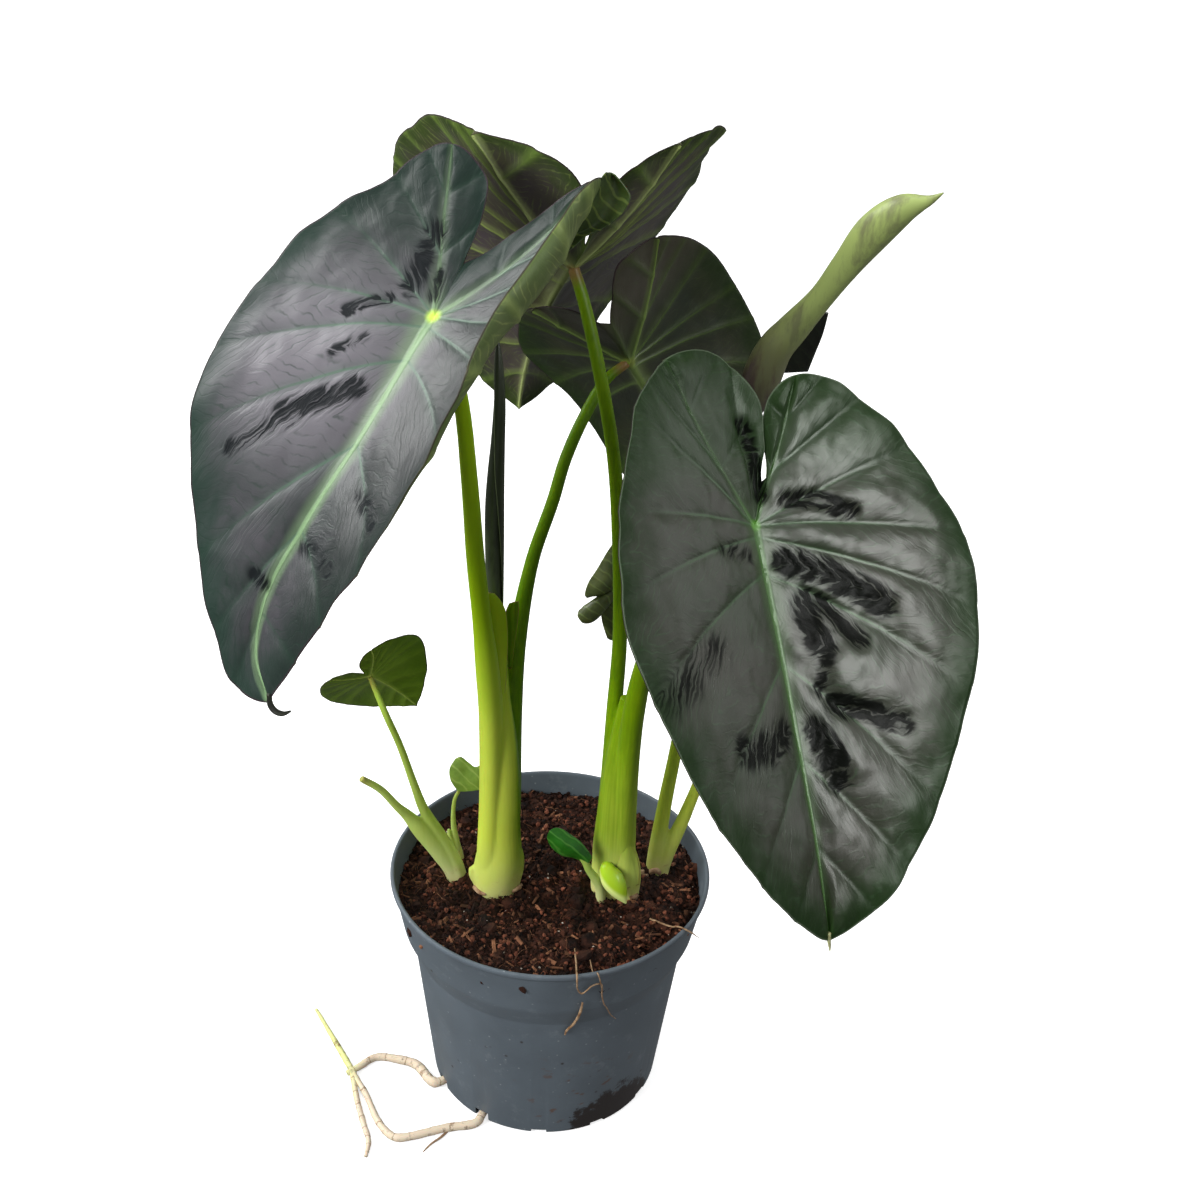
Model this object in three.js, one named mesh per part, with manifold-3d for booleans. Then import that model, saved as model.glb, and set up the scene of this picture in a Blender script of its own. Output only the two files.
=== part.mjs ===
// Potted aloha colocasia. Millimetres, +Z up. The origin is the middle of the pot's flat underside,
// +X is the plant's right hand side and -Y is its front.
import * as THREE from 'three';
import { mergeVertices } from 'three/addons/utils/BufferGeometryUtils.js';
import Module from 'manifold-3d';

const wasm = await Module();
wasm.setup();

// Clearance between touching pieces.
const GAP = 0.35;

// Growers' pot.
const POT = { sides: 48, floor: 1.6, notches: 12, notchWide: 9, notchHigh: 7 };
const POT_OUTSIDE = [[69, 0], [70.5, 1.2], [81.3, 99], [82.6, 103.5], [87.4, 115.5], [88.8, 119], [93.2, 146],
  [95, 147.3], [95, 149.2], [94.3, 150]];
const POT_INSIDE = [[92.8, 150], [92.2, 148.5], [91.8, 145.5], [87.4, 119.3], [86, 116], [81.2, 104],
  [79.9, 99.3], [69.4, POT.floor]];

// Soil: level, relief of its top and bark chips on it.
const SOIL = { level: 137, relief: 1.6, rings: 6, chips: 26, foot: 118 };

// Blades.
const BLADE_THICK = 0.8;
// Half outline of a full grown blade: along the midrib and across it, for a length of 1.
const GROWN = [[-0.13, 0], [-0.22, 0.016], [-0.3, 0.04], [-0.365, 0.09], [-0.392, 0.157], [-0.377, 0.235],
  [-0.328, 0.314], [-0.245, 0.392], [-0.123, 0.46], [0, 0.51], [0.123, 0.539], [0.245, 0.539],
  [0.368, 0.51], [0.49, 0.456], [0.613, 0.387], [0.711, 0.324], [0.784, 0.245], [0.873, 0.157],
  [0.94, 0.078], [0.975, 0.025], [1, 0]];

// Each blade leaves its petiole at `at`. heading is the way its tip points, pitch its dip, roll its lean.
// bend, tipBend and lobeBend curve the midrib down. On each side, fold lifts the half from the midrib,
// curl rounds it over `span`, and edge rolls the margin from `rollFrom` on, up to `rollUntil` of the
// length. Angles are in degrees. right and left are the half outlines, along and across the midrib.
const FRONT_LEFT = {
  at: [-59, -60, 513], length: 197, heading: -131, pitch: 36.5, roll: -5.5,
  bend: 34, tipBend: 5, lobeBend: -19, sweep: 2, wave: 1.5, waves: 7,
  sideR: { span: 91, fold: 14.5, curl: -15, edge: 0, foldLobe: 14.5, curlLobe: -15, edgeLobe: 0 },
  sideL: { span: 96, fold: 8, curl: 38, edge: 57, foldLobe: 4, curlLobe: 42.5, edgeLobe: 216 },
  rollFrom: 0.57, rollUntil: 0.69,
  right: [[-29, 3], [-46, 6], [-57, 8], [-67, 12], [-74, 22], [-78, 34], [-76, 46], [-66, 55], [-50, 62],
    [-29, 76], [-4, 86], [22, 89], [47, 91], [73, 87], [96, 77], [118, 62], [140, 48], [160, 34],
    [178, 18], [189, 9], [192.5, 2], [193, -7.5], [191, -16], [188.5, -22]],
  left: [[-29, 3], [-43, -6], [-60, -19], [-76, -36], [-84, -54], [-82, -67], [-72, -72], [-55, -74],
    [-30, -76], [8, -80], [43, -79.5], [71, -76], [95, -68], [118, -57], [142, -43], [162, -32],
    [180, -25], [188.5, -22]],
};
const FRONT_RIGHT = {
  at: [95, -60, 415], length: 204, heading: -68.5, pitch: 50, roll: -14,
  bend: 5, tipBend: 8, lobeBend: -6, sweep: -2, wave: 1, waves: 6,
  sideR: { span: 110, fold: 18, curl: -1.5, edge: 0 },
  sideL: { span: 110, fold: 17, curl: -1.5, edge: -6 },
  right: [[-26, -6.5], [-40, -9.7], [-53, -12.6], [-63, -11.6], [-72, -7], [-80, 1], [-85, 14], [-85, 30],
    [-80, 47], [-70, 62], [-53, 78], [-30, 91], [-4, 102], [22, 108], [49, 110], [75, 103], [100, 93],
    [122, 83], [145, 67], [162, 51], [178, 35], [190, 19], [198, 7], [201, 2], [205, 0]],
  left: [[-26, -6.5], [-38, -9.9], [-51, -13.5], [-62, -18], [-70, -28], [-72, -40], [-66, -56],
    [-53, -70], [-40, -83], [-22, -93], [-5, -101], [15, -109], [40, -111], [62, -107], [86, -99],
    [110, -87], [132, -75], [150, -63], [169, -47], [185, -31], [196, -12], [201, -2], [205, 0]],
};
const TOP_BACK = {
  at: [0.3, 40, 506.6], length: 190, heading: 108.5, pitch: 37, roll: -5,
  bend: 16, tipBend: 5, lobeBend: -21, sweep: 6, wave: 1.5, waves: 6,
  sideR: { span: 114, fold: 22, curl: 15, edge: 0 },
  sideL: { span: 114, fold: 37, curl: 29, edge: 0 },
  right: [[-26, 0], [-48, 5], [-66, 9], [-77, 19], [-76, 42], [-69, 66], [-60, 82], [-45, 93], [-24, 94],
    [0, 99], [22, 105], [50, 110], [71, 107], [92, 97], [115, 84], [138, 70], [155, 58], [172, 44],
    [183, 28], [189, 12], [192, 0]],
  left: [[-26, 0], [-50, -5], [-70, -11], [-79, -23], [-78, -36], [-72, -50], [-65, -63], [-60, -74],
    [-55, -85], [-46, -95], [-30, -101], [-11, -104], [17, -110], [40, -112], [60, -108], [90, -96],
    [120, -80], [150, -58], [168, -41], [180, -26], [188, -11], [192, 0]],
};
const MIDDLE_BACK = {
  at: [31.5, 68, 445], length: 164, heading: 56, pitch: 48.5, roll: -22.5,
  bend: 25, tipBend: 5, lobeBend: 13, sweep: -5, wave: 1, waves: 5,
  sideR: { span: 79, fold: 47, curl: 8, edge: 0 },
  sideL: { span: 79, fold: 20.5, curl: 2.5, edge: 0 },
  right: [[-36, 4], [-48, 12], [-58, 19], [-64, 29], [-60, 43], [-54, 51], [-45, 58], [-35, 64],
    [-22, 69], [-7, 73], [6, 75], [25, 77], [44, 79], [62, 80], [85, 75], [105, 64], [125, 47],
    [143, 28], [155, 10], [162, 0]],
  left: [[-36, 4], [-44, 0], [-54, -5], [-57, -14], [-51, -27], [-40, -41], [-24, -60], [-5, -73],
    [16, -82], [33, -82], [44, -74], [56, -67], [70, -63], [84, -60], [105, -55], [125, -44],
    [143, -27], [155, -11], [162, 0]],
};
const LEFT_SMALL = {
  at: [-104, 0, 279], length: 55, heading: 66, pitch: 39.5, roll: -46.5,
  bend: 21, tipBend: 5, lobeBend: 0, sweep: 0, wave: 0.4, waves: 4,
  sideR: { span: 33, fold: 14, curl: 6, edge: 0 },
  sideL: { span: 33, fold: 6.5, curl: 8, edge: 0 },
  halfWidth: 33,
};
const TINY = {
  at: [-55.3, 16.2, 190.1], length: 22, heading: 20, pitch: -46, roll: 78,
  bend: 8, tipBend: 5, lobeBend: 0, sweep: 0, wave: 0, waves: 4,
  sideR: { span: 9, fold: 10, curl: 8, edge: 0 },
  sideL: { span: 9, fold: 10, curl: 8, edge: 0 },
  halfWidth: 9,
};
const FOLDED_SMALL = {
  at: [48, 54, 330], length: 56, heading: 184, pitch: 52, roll: 10,
  bend: 30, tipBend: 5, lobeBend: 0, sweep: 0, wave: 0.5, waves: 4,
  sideR: { span: 27, fold: 42, curl: 70, edge: 0 },
  sideL: { span: 27, fold: 42, curl: 70, edge: 0 },
  halfWidth: 27,
};
const SUCKER = {
  at: [20.3, -17, 168.4], length: 29, heading: 180, pitch: -40, roll: -76,
  bend: 8, tipBend: 5, lobeBend: 0, sweep: 0, wave: 0, waves: 4,
  sideR: { span: 8, fold: 12, curl: 14, edge: 0 },
  sideL: { span: 8, fold: 12, curl: 14, edge: 0 },
  right: [[-2.5, 0], [-2, 2], [1, 4.4], [6, 7], [12, 8.2], [18, 7.8], [23, 5.8], [27, 2.8], [29, 0]],
  left: [[-2.5, 0], [-2, -2], [1, -4.4], [6, -7], [12, -8.2], [18, -7.8], [23, -5.8], [27, -2.8], [29, 0]],
};

// Stems: centre line points, each with its half width across X and along Y, from the foot up.
const STEM = {
  left1: [[-36, -5, SOIL.foot, 11, 11], [-37, -5, 137, 11.5, 11.5], [-35.5, -7, 165, 8.6, 10.5],
    [-35, -8, 203, 7.2, 9.6], [-35.5, -12, 266, 6.8, 8.2], [-37.5, -16, 300, 6.4, 7.2],
    [-40, -19, 330, 5.2, 5.6], [-43, -24, 369, 4.9, 4.9], [-45, -36, 420, 4.3, 4.3],
    [-48, -48, 468, 3.8, 3.8], [-54, -57, 501, 3.5, 3.5], [-59, -60, 513, 3.6, 3.6]],
  left2: [[-29, -3, SOIL.foot, 10, 10], [-27, -3, 137, 10.5, 10.5], [-25.5, -1, 165, 6.6, 8.6],
    [-24, 0, 197, 5.6, 8.2], [-24.5, 5, 255, 5.6, 7], [-23, 12, 299, 5.3, 5.8], [-16, 24, 344, 3.9, 4],
    [-6, 34, 376, 3.6, 3.6], [-0.5, 43, 396, 3.5, 3.5], [8.5, 53, 417, 3.4, 3.4], [20, 63, 436, 3, 3],
    [31.5, 68, 445, 2.6, 2.6]],
  left1Sheath: [[-30.5, -14.5, 292, 4.2, 3], [-30.8, -14.5, 318, 3.4, 2.4], [-32, -14, 338, 1.1, 1.1]],
  left2Sheath: [[-24.5, 6, 286, 3.6, 4], [-25, 5.5, 304, 3.2, 3.4], [-23.6, 7, 322, 0.9, 0.9]],
  spearSheath: [[-30.5, -5, 240, 6, 6], [-31.5, -4.5, 268, 7, 7], [-33.8, -2, 300, 6, 6],
    [-35, -1.2, 328, 5.9, 5.9]],
  left1Bump: [[-47, -6, 141, 2.4, 4], [-46, -6, 150, 2.8, 4.4], [-45, -6, 158, 1, 1.5]],
  left2Bump: [[-18, -6, 141, 2.6, 5], [-17, -6, 152, 3.2, 5], [-18, -5, 163, 1.2, 2]],
  centre1: [[34, 0, SOIL.foot, 8.4, 9], [34, 0, 137, 8.8, 9.4], [32.5, 2, 160, 8, 9.6],
    [32.8, 4, 197, 6.2, 8.6], [33, 8, 256, 4.6, 6.6], [34, 13, 302, 4.2, 5], [31.5, 17, 351, 4, 4.2],
    [26, 21, 407, 3.7, 3.7], [17.3, 24, 451, 3.6, 3.6], [6.4, 33.5, 490.5, 3.3, 3.3],
    [0.3, 40, 506.6, 3.1, 3.1]],
  centre2: [[42, -1, SOIL.foot, 8.4, 9], [42, -1, 137, 8.8, 9.4], [42, -3, 160, 8.2, 9.6],
    [42, -6, 206, 6.8, 8.8], [43.5, -12, 270, 6.2, 7.2], [51, -20, 323, 4.8, 5], [67, -32, 373, 4.1, 4.1],
    [84, -48, 404, 3.7, 3.7], [95, -60, 415, 3.4, 3.4]],
  centreSheath: [[50, -7, 141, 4.4, 5], [50.5, -7.5, 152, 4.4, 4.6], [49, -8, 163, 2.6, 2.8],
    [46.5, -9, 172, 0.8, 0.8]],
  suckerStalk: [[31, -13.2, SOIL.foot + 6, 2.6, 2.6], [31, -13.2, 136, 2.8, 2.8], [29.6, -14.6, 148, 2.7, 2.7],
    [26.4, -15.9, 156, 2.4, 2.4], [23, -16.7, 162.5, 2, 2], [20.3, -17, 168.4, 1.4, 1.4]],
  right1: [[63, 18, SOIL.foot, 5, 5.4], [63, 18, 139, 5.4, 5.8], [66, 22, 178, 4.4, 4.8],
    [70, 26, 212, 3.9, 4.1], [76, 32, 265, 3.6, 3.6], [84, 38, 329, 3.3, 3.3], [93, 42, 389, 3, 3],
    [100, 44, 425, 2.8, 2.8]],
  right2: [[68, 18, SOIL.foot, 4.6, 5.4], [68, 18, 139, 5, 5.6], [79, 22, 175, 3.9, 4.2],
    [88, 28, 208, 3, 3.2], [90, 35, 251, 2.8, 2.8], [83, 42, 290, 2.6, 2.6], [66, 50, 320, 2.4, 2.4],
    [48, 54, 330, 2.2, 2.2]],
  leftSmall1: [[-56, 4, SOIL.foot, 5.4, 5.8], [-56, 4, 137, 5.6, 6], [-63, 2, 160, 4.4, 5],
    [-75, -2, 189, 3, 3.2], [-80, -4, 208, 2.4, 2.5], [-87, -8, 238, 2.1, 2.1], [-94, -11, 261, 2, 2],
    [-104, 0, 279, 1.6, 1.6]],
  leftSmall2: [[-59, 4, SOIL.foot, 5.2, 5.6], [-59, 4, 137, 5.8, 6], [-66, 1, 156, 6.2, 6],
    [-77, -4, 176, 5.6, 4.6], [-84, -7, 188, 3.4, 3.2], [-89, -10, 196, 2.5, 2.5],
    [-98, -14, 211, 2.2, 2.2], [-108, -18, 221, 2, 2]],
  tiny: [[-57, 20, SOIL.foot, 3, 3], [-56.5, 20, 134, 3.1, 3.1], [-58.5, 19, 150, 2.2, 2.2],
    [-60, 18.6, 166, 1.5, 1.5], [-59.4, 20.6, 180, 1.2, 1.2], [-56, 17.8, 189.6, 1, 1]],
  tinySheath: [[-58.5, 17.5, 137, 2.2, 2.4], [-61.5, 17, 150, 2.2, 2], [-62.6, 17, 160, 0.8, 0.8]],
};
const SPEAR = [[-33.5, -2, 294, 3.8, 3.8], [-34, -1.5, 306, 4.2, 4.2], [-35, -1, 332, 5, 5],
  [-35, 1, 362, 5.4, 5.4], [-35, 2, 391, 5.1, 5.1], [-34, 5, 424, 4.2, 4.2], [-34, 7, 445, 3.5, 3.5],
  [-35, 9, 470, 1.6, 1.6], [-35, 9.5, 478, 0.5, 0.5]];
const BUD = [[34, -6.4, 158.6, 2.4, 2.4], [33.6, -12, 161, 3.8, 3.4], [34.2, -15.6, 160.6, 5.2, 4.4],
  [36.6, -18, 157, 6.7, 5], [39.8, -19.8, 152, 6, 4.6], [42.6, -20.8, 147.4, 4, 3.2],
  [44.6, -21.4, 143.8, 1.9, 1.5], [45.6, -21.6, 141.8, 0.5, 0.5]];
const ROLLED = {
  path: [[100, 44, 426], [100, 44, 434], [101.5, 43.6, 447], [107.3, 43, 465.4], [114.9, 42, 476.6],
    [127.3, 37, 496.3], [137.2, 32, 515.2], [147.8, 25, 535.2], [158.5, 17, 548.8], [169.4, 10, 555.9],
    [174.4, 6, 561.1]],
  radii: [3.4, 8, 11.2, 10.4, 9.4, 7.6, 8.6, 10.4, 8.4, 4, 1.6],
  turns: 1.45, layer: 1.8, around: 16, along: 16,
};

// Roots: centre line points with their half width.
const ROOTS = [
  [[-26, -45, 12, 2], [-31, -54, 7, 2.3], [-35, -61, 3.6, 2.6], [-38, -67, 2.9, 2.7], [-56, -72, 2.7, 2.6],
    [-84, -81, 2.5, 2.4], [-90, -78, 2.4, 2.3], [-98, -68, 2.2, 2.1], [-108, -48, 2, 1.9],
    [-117, -34, 2, 1.9], [-121, -27, 2, 1.9], [-132, -9, 1.9, 1.8], [-151, 22, 1.3, 1.1]],
  [[-48, -28, 12, 2], [-55, -31.5, 7, 2.4], [-60, -34.5, 3.9, 2.6], [-67, -37, 3.2, 3.1], [-80, -23, 3, 2.9],
    [-93, -19, 2.8, 2.6], [-106, -18, 2.5, 2.4], [-116, -27, 2.4, 2.2], [-122, -32, 2.2, 1.8]],
  [[-119, -31, 1.9, 1.8], [-113, -52, 1.9, 1.8], [-106, -71, 1.9, 1.8], [-101, -84, 1.9, 1.7],
    [-101, -95, 1.5, 1.2]],
];

const COLOUR = {
  pot: 0x565f66, soil: 0x452a20, root: 0xd8c0a8, stem: 0x8fb03a, stemPale: 0xa9c35a,
  bladeDark: 0x2c3a30, bladeGrey: 0x5c6a60, bladeBack: 0x4a5c3c, bladeYoung: 0x6a7a4a,
  bladeSmall: 0x6f8a3a, spear: 0x3f4c3c, bud: 0xc6d84e,
};

// Seeded random numbers, the same on every build.
function randomFrom(seed) {
  let state = seed;
  return () => {
    state = (Math.imul(state, 1664525) + 1013904223) >>> 0;
    return state / 4294967296;
  };
}

// A closed geometry as a solid that can be joined and cut.
function toSolid(geometry) {
  geometry.deleteAttribute('normal');
  geometry.deleteAttribute('uv');
  const merged = mergeVertices(geometry, 1e-4);
  const index = [];
  const source = merged.index.array;
  for (let k = 0; k < source.length; k += 3) {
    const [a, b, c] = [source[k], source[k + 1], source[k + 2]];
    if (a !== b && b !== c && c !== a) index.push(a, b, c);
  }
  return new wasm.Manifold(new wasm.Mesh({
    numProp: 3,
    vertProperties: new Float32Array(merged.attributes.position.array),
    triVerts: new Uint32Array(index),
  }));
}

function toMesh(name, solid, colour, roughness) {
  const data = solid.getMesh();
  const geometry = new THREE.BufferGeometry();
  const positions = [];
  for (let k = 0; k < data.numVert; k += 1) {
    positions.push(...data.vertProperties.slice(k * data.numProp, k * data.numProp + 3));
  }
  geometry.setAttribute('position', new THREE.Float32BufferAttribute(positions, 3));
  geometry.setIndex(Array.from(data.triVerts));
  geometry.computeVertexNormals();
  const material = new THREE.MeshStandardMaterial({ color: colour, roughness, metalness: 0 });
  const mesh = new THREE.Mesh(geometry, material);
  mesh.name = name;
  return mesh;
}

function join(solids) {
  return solids.reduce((whole, piece) => whole.add(piece));
}

function largest(solid) {
  return solid.decompose().reduce((best, piece) => (piece.volume() > best.volume() ? piece : best));
}

// How far along and how high an arc has come after a length, from its first slope and its curvature.
function arc(length, slope, curvature) {
  const k = Math.abs(curvature) < 1e-6 ? 1e-6 : curvature;
  return [(Math.sin(slope + k * length) - Math.sin(slope)) / k,
    (Math.cos(slope) - Math.cos(slope + k * length)) / k];
}

function smooth(x, from, to) {
  const u = Math.min(1, Math.max(0, (x - from) / (to - from)));
  return u * u * (3 - 2 * u);
}

// The point of a blade's upper face, s along its midrib and t across it.
function bladePoint(leaf, s, t) {
  const rad = Math.PI / 180;
  const { length } = leaf;
  const h = leaf.heading * rad;
  const p = leaf.pitch * rad;
  const along = new THREE.Vector3(Math.cos(h) * Math.cos(p), Math.sin(h) * Math.cos(p), -Math.sin(p));
  const across = new THREE.Vector3(Math.sin(h), -Math.cos(h), 0).applyAxisAngle(along, leaf.roll * rad);
  const up = new THREE.Vector3().crossVectors(across, along);
  // Midrib, seen from its side.
  const body = -leaf.bend * rad / length;
  const tipFrom = 0.7 * length;
  const tipTurn = -leaf.tipBend * rad / (length - tipFrom);
  const lobe = -leaf.lobeBend * rad / (0.42 * length);
  let x;
  let z;
  let slope;
  if (s >= 0) {
    const first = arc(Math.min(s, tipFrom), 0, body);
    const rest = Math.max(s - tipFrom, 0);
    const last = arc(rest, body * tipFrom, body + tipTurn);
    x = first[0] + last[0];
    z = first[1] + last[1];
    slope = body * s + tipTurn * rest;
  } else {
    const back = arc(-s, 0, lobe);
    x = -back[0];
    z = back[1];
    slope = lobe * s;
  }
  // Half of the blade, seen along the midrib.
  const side = t >= 0 ? leaf.sideR : leaf.sideL;
  const inLobe = 1 - smooth(s, -0.25 * length, 0.25 * length);
  const mix = (body_, lobe_) => (lobe_ === undefined ? body_ : body_ * (1 - inLobe) + lobe_ * inLobe) * rad;
  const from = (leaf.rollFrom ?? 0.6) * side.span;
  const until = (leaf.rollUntil ?? 9) * length;
  const fade = 1 - smooth(s, until - 0.25 * length, until);
  const fold = mix(side.fold, side.foldLobe);
  const curl = mix(side.curl, side.curlLobe) / side.span;
  const edge = mix(side.edge, side.edgeLobe) / (side.span - from) * fade;
  const inner = arc(Math.min(Math.abs(t), from), fold, curl);
  const outer = arc(Math.max(Math.abs(t) - from, 0), fold + curl * from, curl + edge);
  const out = Math.sign(t) * (inner[0] + outer[0]) + leaf.sweep * (Math.max(s, 0) / length) ** 2;
  const rise = inner[1] + outer[1];
  return new THREE.Vector3(...leaf.at)
    .addScaledVector(along, x - rise * Math.sin(slope))
    .addScaledVector(up, z + rise * Math.cos(slope))
    .addScaledVector(across, out);
}

function bladeNormal(leaf, s, t) {
  const e = 0.5;
  const ds = bladePoint(leaf, s + e, t).sub(bladePoint(leaf, s - e, t));
  const dt = bladePoint(leaf, s, t + e).sub(bladePoint(leaf, s, t - e));
  return dt.cross(ds).normalize();
}

function halfOutline(points, count) {
  const curve = new THREE.CatmullRomCurve3(points.map(([s, t]) => new THREE.Vector3(s, t, 0)), false,
    'centripetal');
  return curve.getSpacedPoints(count);
}

// A blade: rings round the petiole's joint, the same triangles on both faces, and a rim between them.
function blade(leaf, around, rings) {
  const half = around / 2;
  const grown = (sign) => GROWN.map(([s, t]) => [s * leaf.length, sign * t / 0.539 * leaf.halfWidth]);
  const right = halfOutline(leaf.right ?? grown(1), half);
  const left = halfOutline(leaf.left ?? grown(-1), half);
  const outline = [...right, ...left.reverse().slice(1)];
  const disc = new THREE.RingGeometry(0, 1, around, rings);
  const count = disc.attributes.position.count;
  const faces = [[], []];
  for (let k = 0; k < count; k += 1) {
    const place = k % (around + 1);
    const reach = (Math.floor(k / (around + 1)) / rings) ** 0.8;
    const s = outline[place].x * reach;
    const t = outline[place].y * reach;
    const normal = bladeNormal(leaf, s, t);
    const swing = Math.sin(2 * Math.PI * leaf.waves * place / around) * leaf.wave * reach ** 3;
    const point = bladePoint(leaf, s, t).addScaledVector(normal, swing);
    faces[0].push(...point.toArray());
    faces[1].push(...point.addScaledVector(normal, -BLADE_THICK).toArray());
  }
  const index = [];
  const flat = disc.index.array;
  for (let k = 0; k < flat.length; k += 3) {
    index.push(flat[k], flat[k + 1], flat[k + 2]);
    index.push(count + flat[k], count + flat[k + 2], count + flat[k + 1]);
  }
  const rim = rings * (around + 1);
  for (let k = 0; k < around; k += 1) {
    const [a, b] = [rim + k, rim + k + 1];
    index.push(a, count + a, count + b, a, count + b, b);
  }
  const geometry = new THREE.BufferGeometry();
  geometry.setAttribute('position', new THREE.Float32BufferAttribute([...faces[0], ...faces[1]], 3));
  geometry.setIndex(index);
  return toSolid(geometry);
}

// The plane that a petiole's end lies in, flat under its blade.
function underBlade(leaf) {
  const normal = bladeNormal(leaf, 0.01, 0.01).add(bladeNormal(leaf, 0.01, -0.01)).normalize();
  return { point: new THREE.Vector3(...leaf.at).addScaledVector(normal, -BLADE_THICK - GAP - 0.25), normal };
}

// The plane just below the rolled blade's foot.
function underRoll() {
  const curve = rolledPath();
  const normal = curve.getTangent(0);
  return { point: curve.getPoint(0).addScaledVector(normal, -GAP), normal };
}

function rolledPath() {
  return new THREE.CatmullRomCurve3(ROLLED.path.map((p) => new THREE.Vector3(...p)), false, 'centripetal');
}

// A tapered stem through its points. grow widens it, for the hole that it stands in. With a leaf, its
// end lies flat under that leaf's blade, and with a seat in that plane.
function stem(points, { sides = 10, steps = 2, grow = 0, leaf = null, seat = null, axis = [1, 0, 0] } = {}) {
  const curve = new THREE.CatmullRomCurve3(points.map(([x, y, z]) => new THREE.Vector3(x, y, z)), false,
    'centripetal');
  const rows = (points.length - 1) * steps;
  const tube = new THREE.CylinderGeometry(1, 1, 1, sides, rows);
  const position = tube.attributes.position;
  const reference = new THREE.Vector3(...axis);
  const place = new THREE.Vector3();
  for (let k = 0; k < position.count; k += 1) {
    const u = Math.min(1, Math.max(0, position.getY(k) + 0.5));
    const at = u * (points.length - 1);
    const i = Math.min(Math.floor(at), points.length - 2);
    const wide = points[i][3] + (points[i + 1][3] - points[i][3]) * (at - i) + grow;
    const deep = points[i][4] + (points[i + 1][4] - points[i][4]) * (at - i) + grow;
    const centre = curve.getPoint(u);
    const along = curve.getTangent(u);
    const x = reference.clone().addScaledVector(along, -reference.dot(along)).normalize();
    const z = new THREE.Vector3().crossVectors(x, along);
    place.copy(centre).addScaledVector(x, position.getX(k) * wide).addScaledVector(z, position.getZ(k) * deep);
    if (u === 0) place.addScaledVector(along, -grow);
    const end = leaf ? underBlade(leaf) : seat;
    if (u === 1 && end) {
      place.addScaledVector(along, end.point.clone().sub(place).dot(end.normal) / along.dot(end.normal));
    }
    position.setXYZ(k, place.x, place.y, place.z);
  }
  return toSolid(tube);
}

function ring(profile) {
  const points = profile.map(([r, z]) => new THREE.Vector2(r, z));
  return new THREE.LatheGeometry(points, POT.sides).rotateX(Math.PI / 2);
}

function pot() {
  const profile = [[0, 0], ...POT_OUTSIDE, ...POT_INSIDE, [0, POT.floor]];
  let solid = toSolid(ring(profile));
  for (let k = 0; k < POT.notches; k += 1) {
    const cut = new THREE.BoxGeometry(14, POT.notchWide, POT.notchHigh + 2);
    cut.translate(69, 0, POT.notchHigh / 2 - 1);
    cut.rotateZ(k * 2 * Math.PI / POT.notches);
    solid = solid.subtract(toSolid(cut));
  }
  return solid;
}

function leftClump(grow) {
  const solids = [
    stem(STEM.left1, { sides: 12, grow, leaf: FRONT_LEFT }),
    stem(STEM.left2, { sides: 12, grow, leaf: MIDDLE_BACK }),
    stem(STEM.left1Sheath, { sides: 8, grow }),
    stem(STEM.left2Sheath, { sides: 8, grow }),
    stem(STEM.spearSheath, { sides: 10, grow }),
    stem(STEM.left1Bump, { sides: 8, grow }),
    stem(STEM.left2Bump, { sides: 8, grow }),
  ];
  return join(solids).subtract(stem(SPEAR, { sides: 10, grow: GAP }));
}

function centreClump(grow) {
  const whole = join([
    stem(STEM.centre1, { sides: 12, grow, leaf: TOP_BACK }),
    stem(STEM.centre2, { sides: 12, grow, leaf: FRONT_RIGHT }),
    stem(STEM.centreSheath, { sides: 8, grow }),
  ]);
  return whole.subtract(bud(GAP));
}

function bud(grow) {
  return stem(BUD, { sides: 8, grow, axis: [0, 0, 1] });
}

function rightShoots(grow) {
  return join([
    stem(STEM.right1, { sides: 10, grow, seat: underRoll() }),
    stem(STEM.right2, { sides: 10, grow, leaf: FOLDED_SMALL }),
  ]);
}

// The sucker's leaf stands on its own short stalk.
function sucker(grow) {
  const stalk = stem(STEM.suckerStalk, { sides: 8, grow });
  return grow > 0 ? stalk : stalk.add(blade(SUCKER, 20, 2));
}

function leftShoots(grow) {
  return join([
    stem(STEM.leftSmall1, { sides: 10, grow, leaf: LEFT_SMALL }),
    stem(STEM.leftSmall2, { sides: 10, grow }),
  ]);
}

function tinyShoot(grow) {
  return join([
    stem(STEM.tiny, { sides: 8, grow, leaf: TINY }),
    stem(STEM.tinySheath, { sides: 8, grow }),
  ]);
}

function roots(grow) {
  return join(ROOTS.map((line) => stem(line.map(([x, y, z, r]) => [x, y, z, r, r]),
    { sides: 8, grow, axis: [0, 0, 1] })));
}

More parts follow.
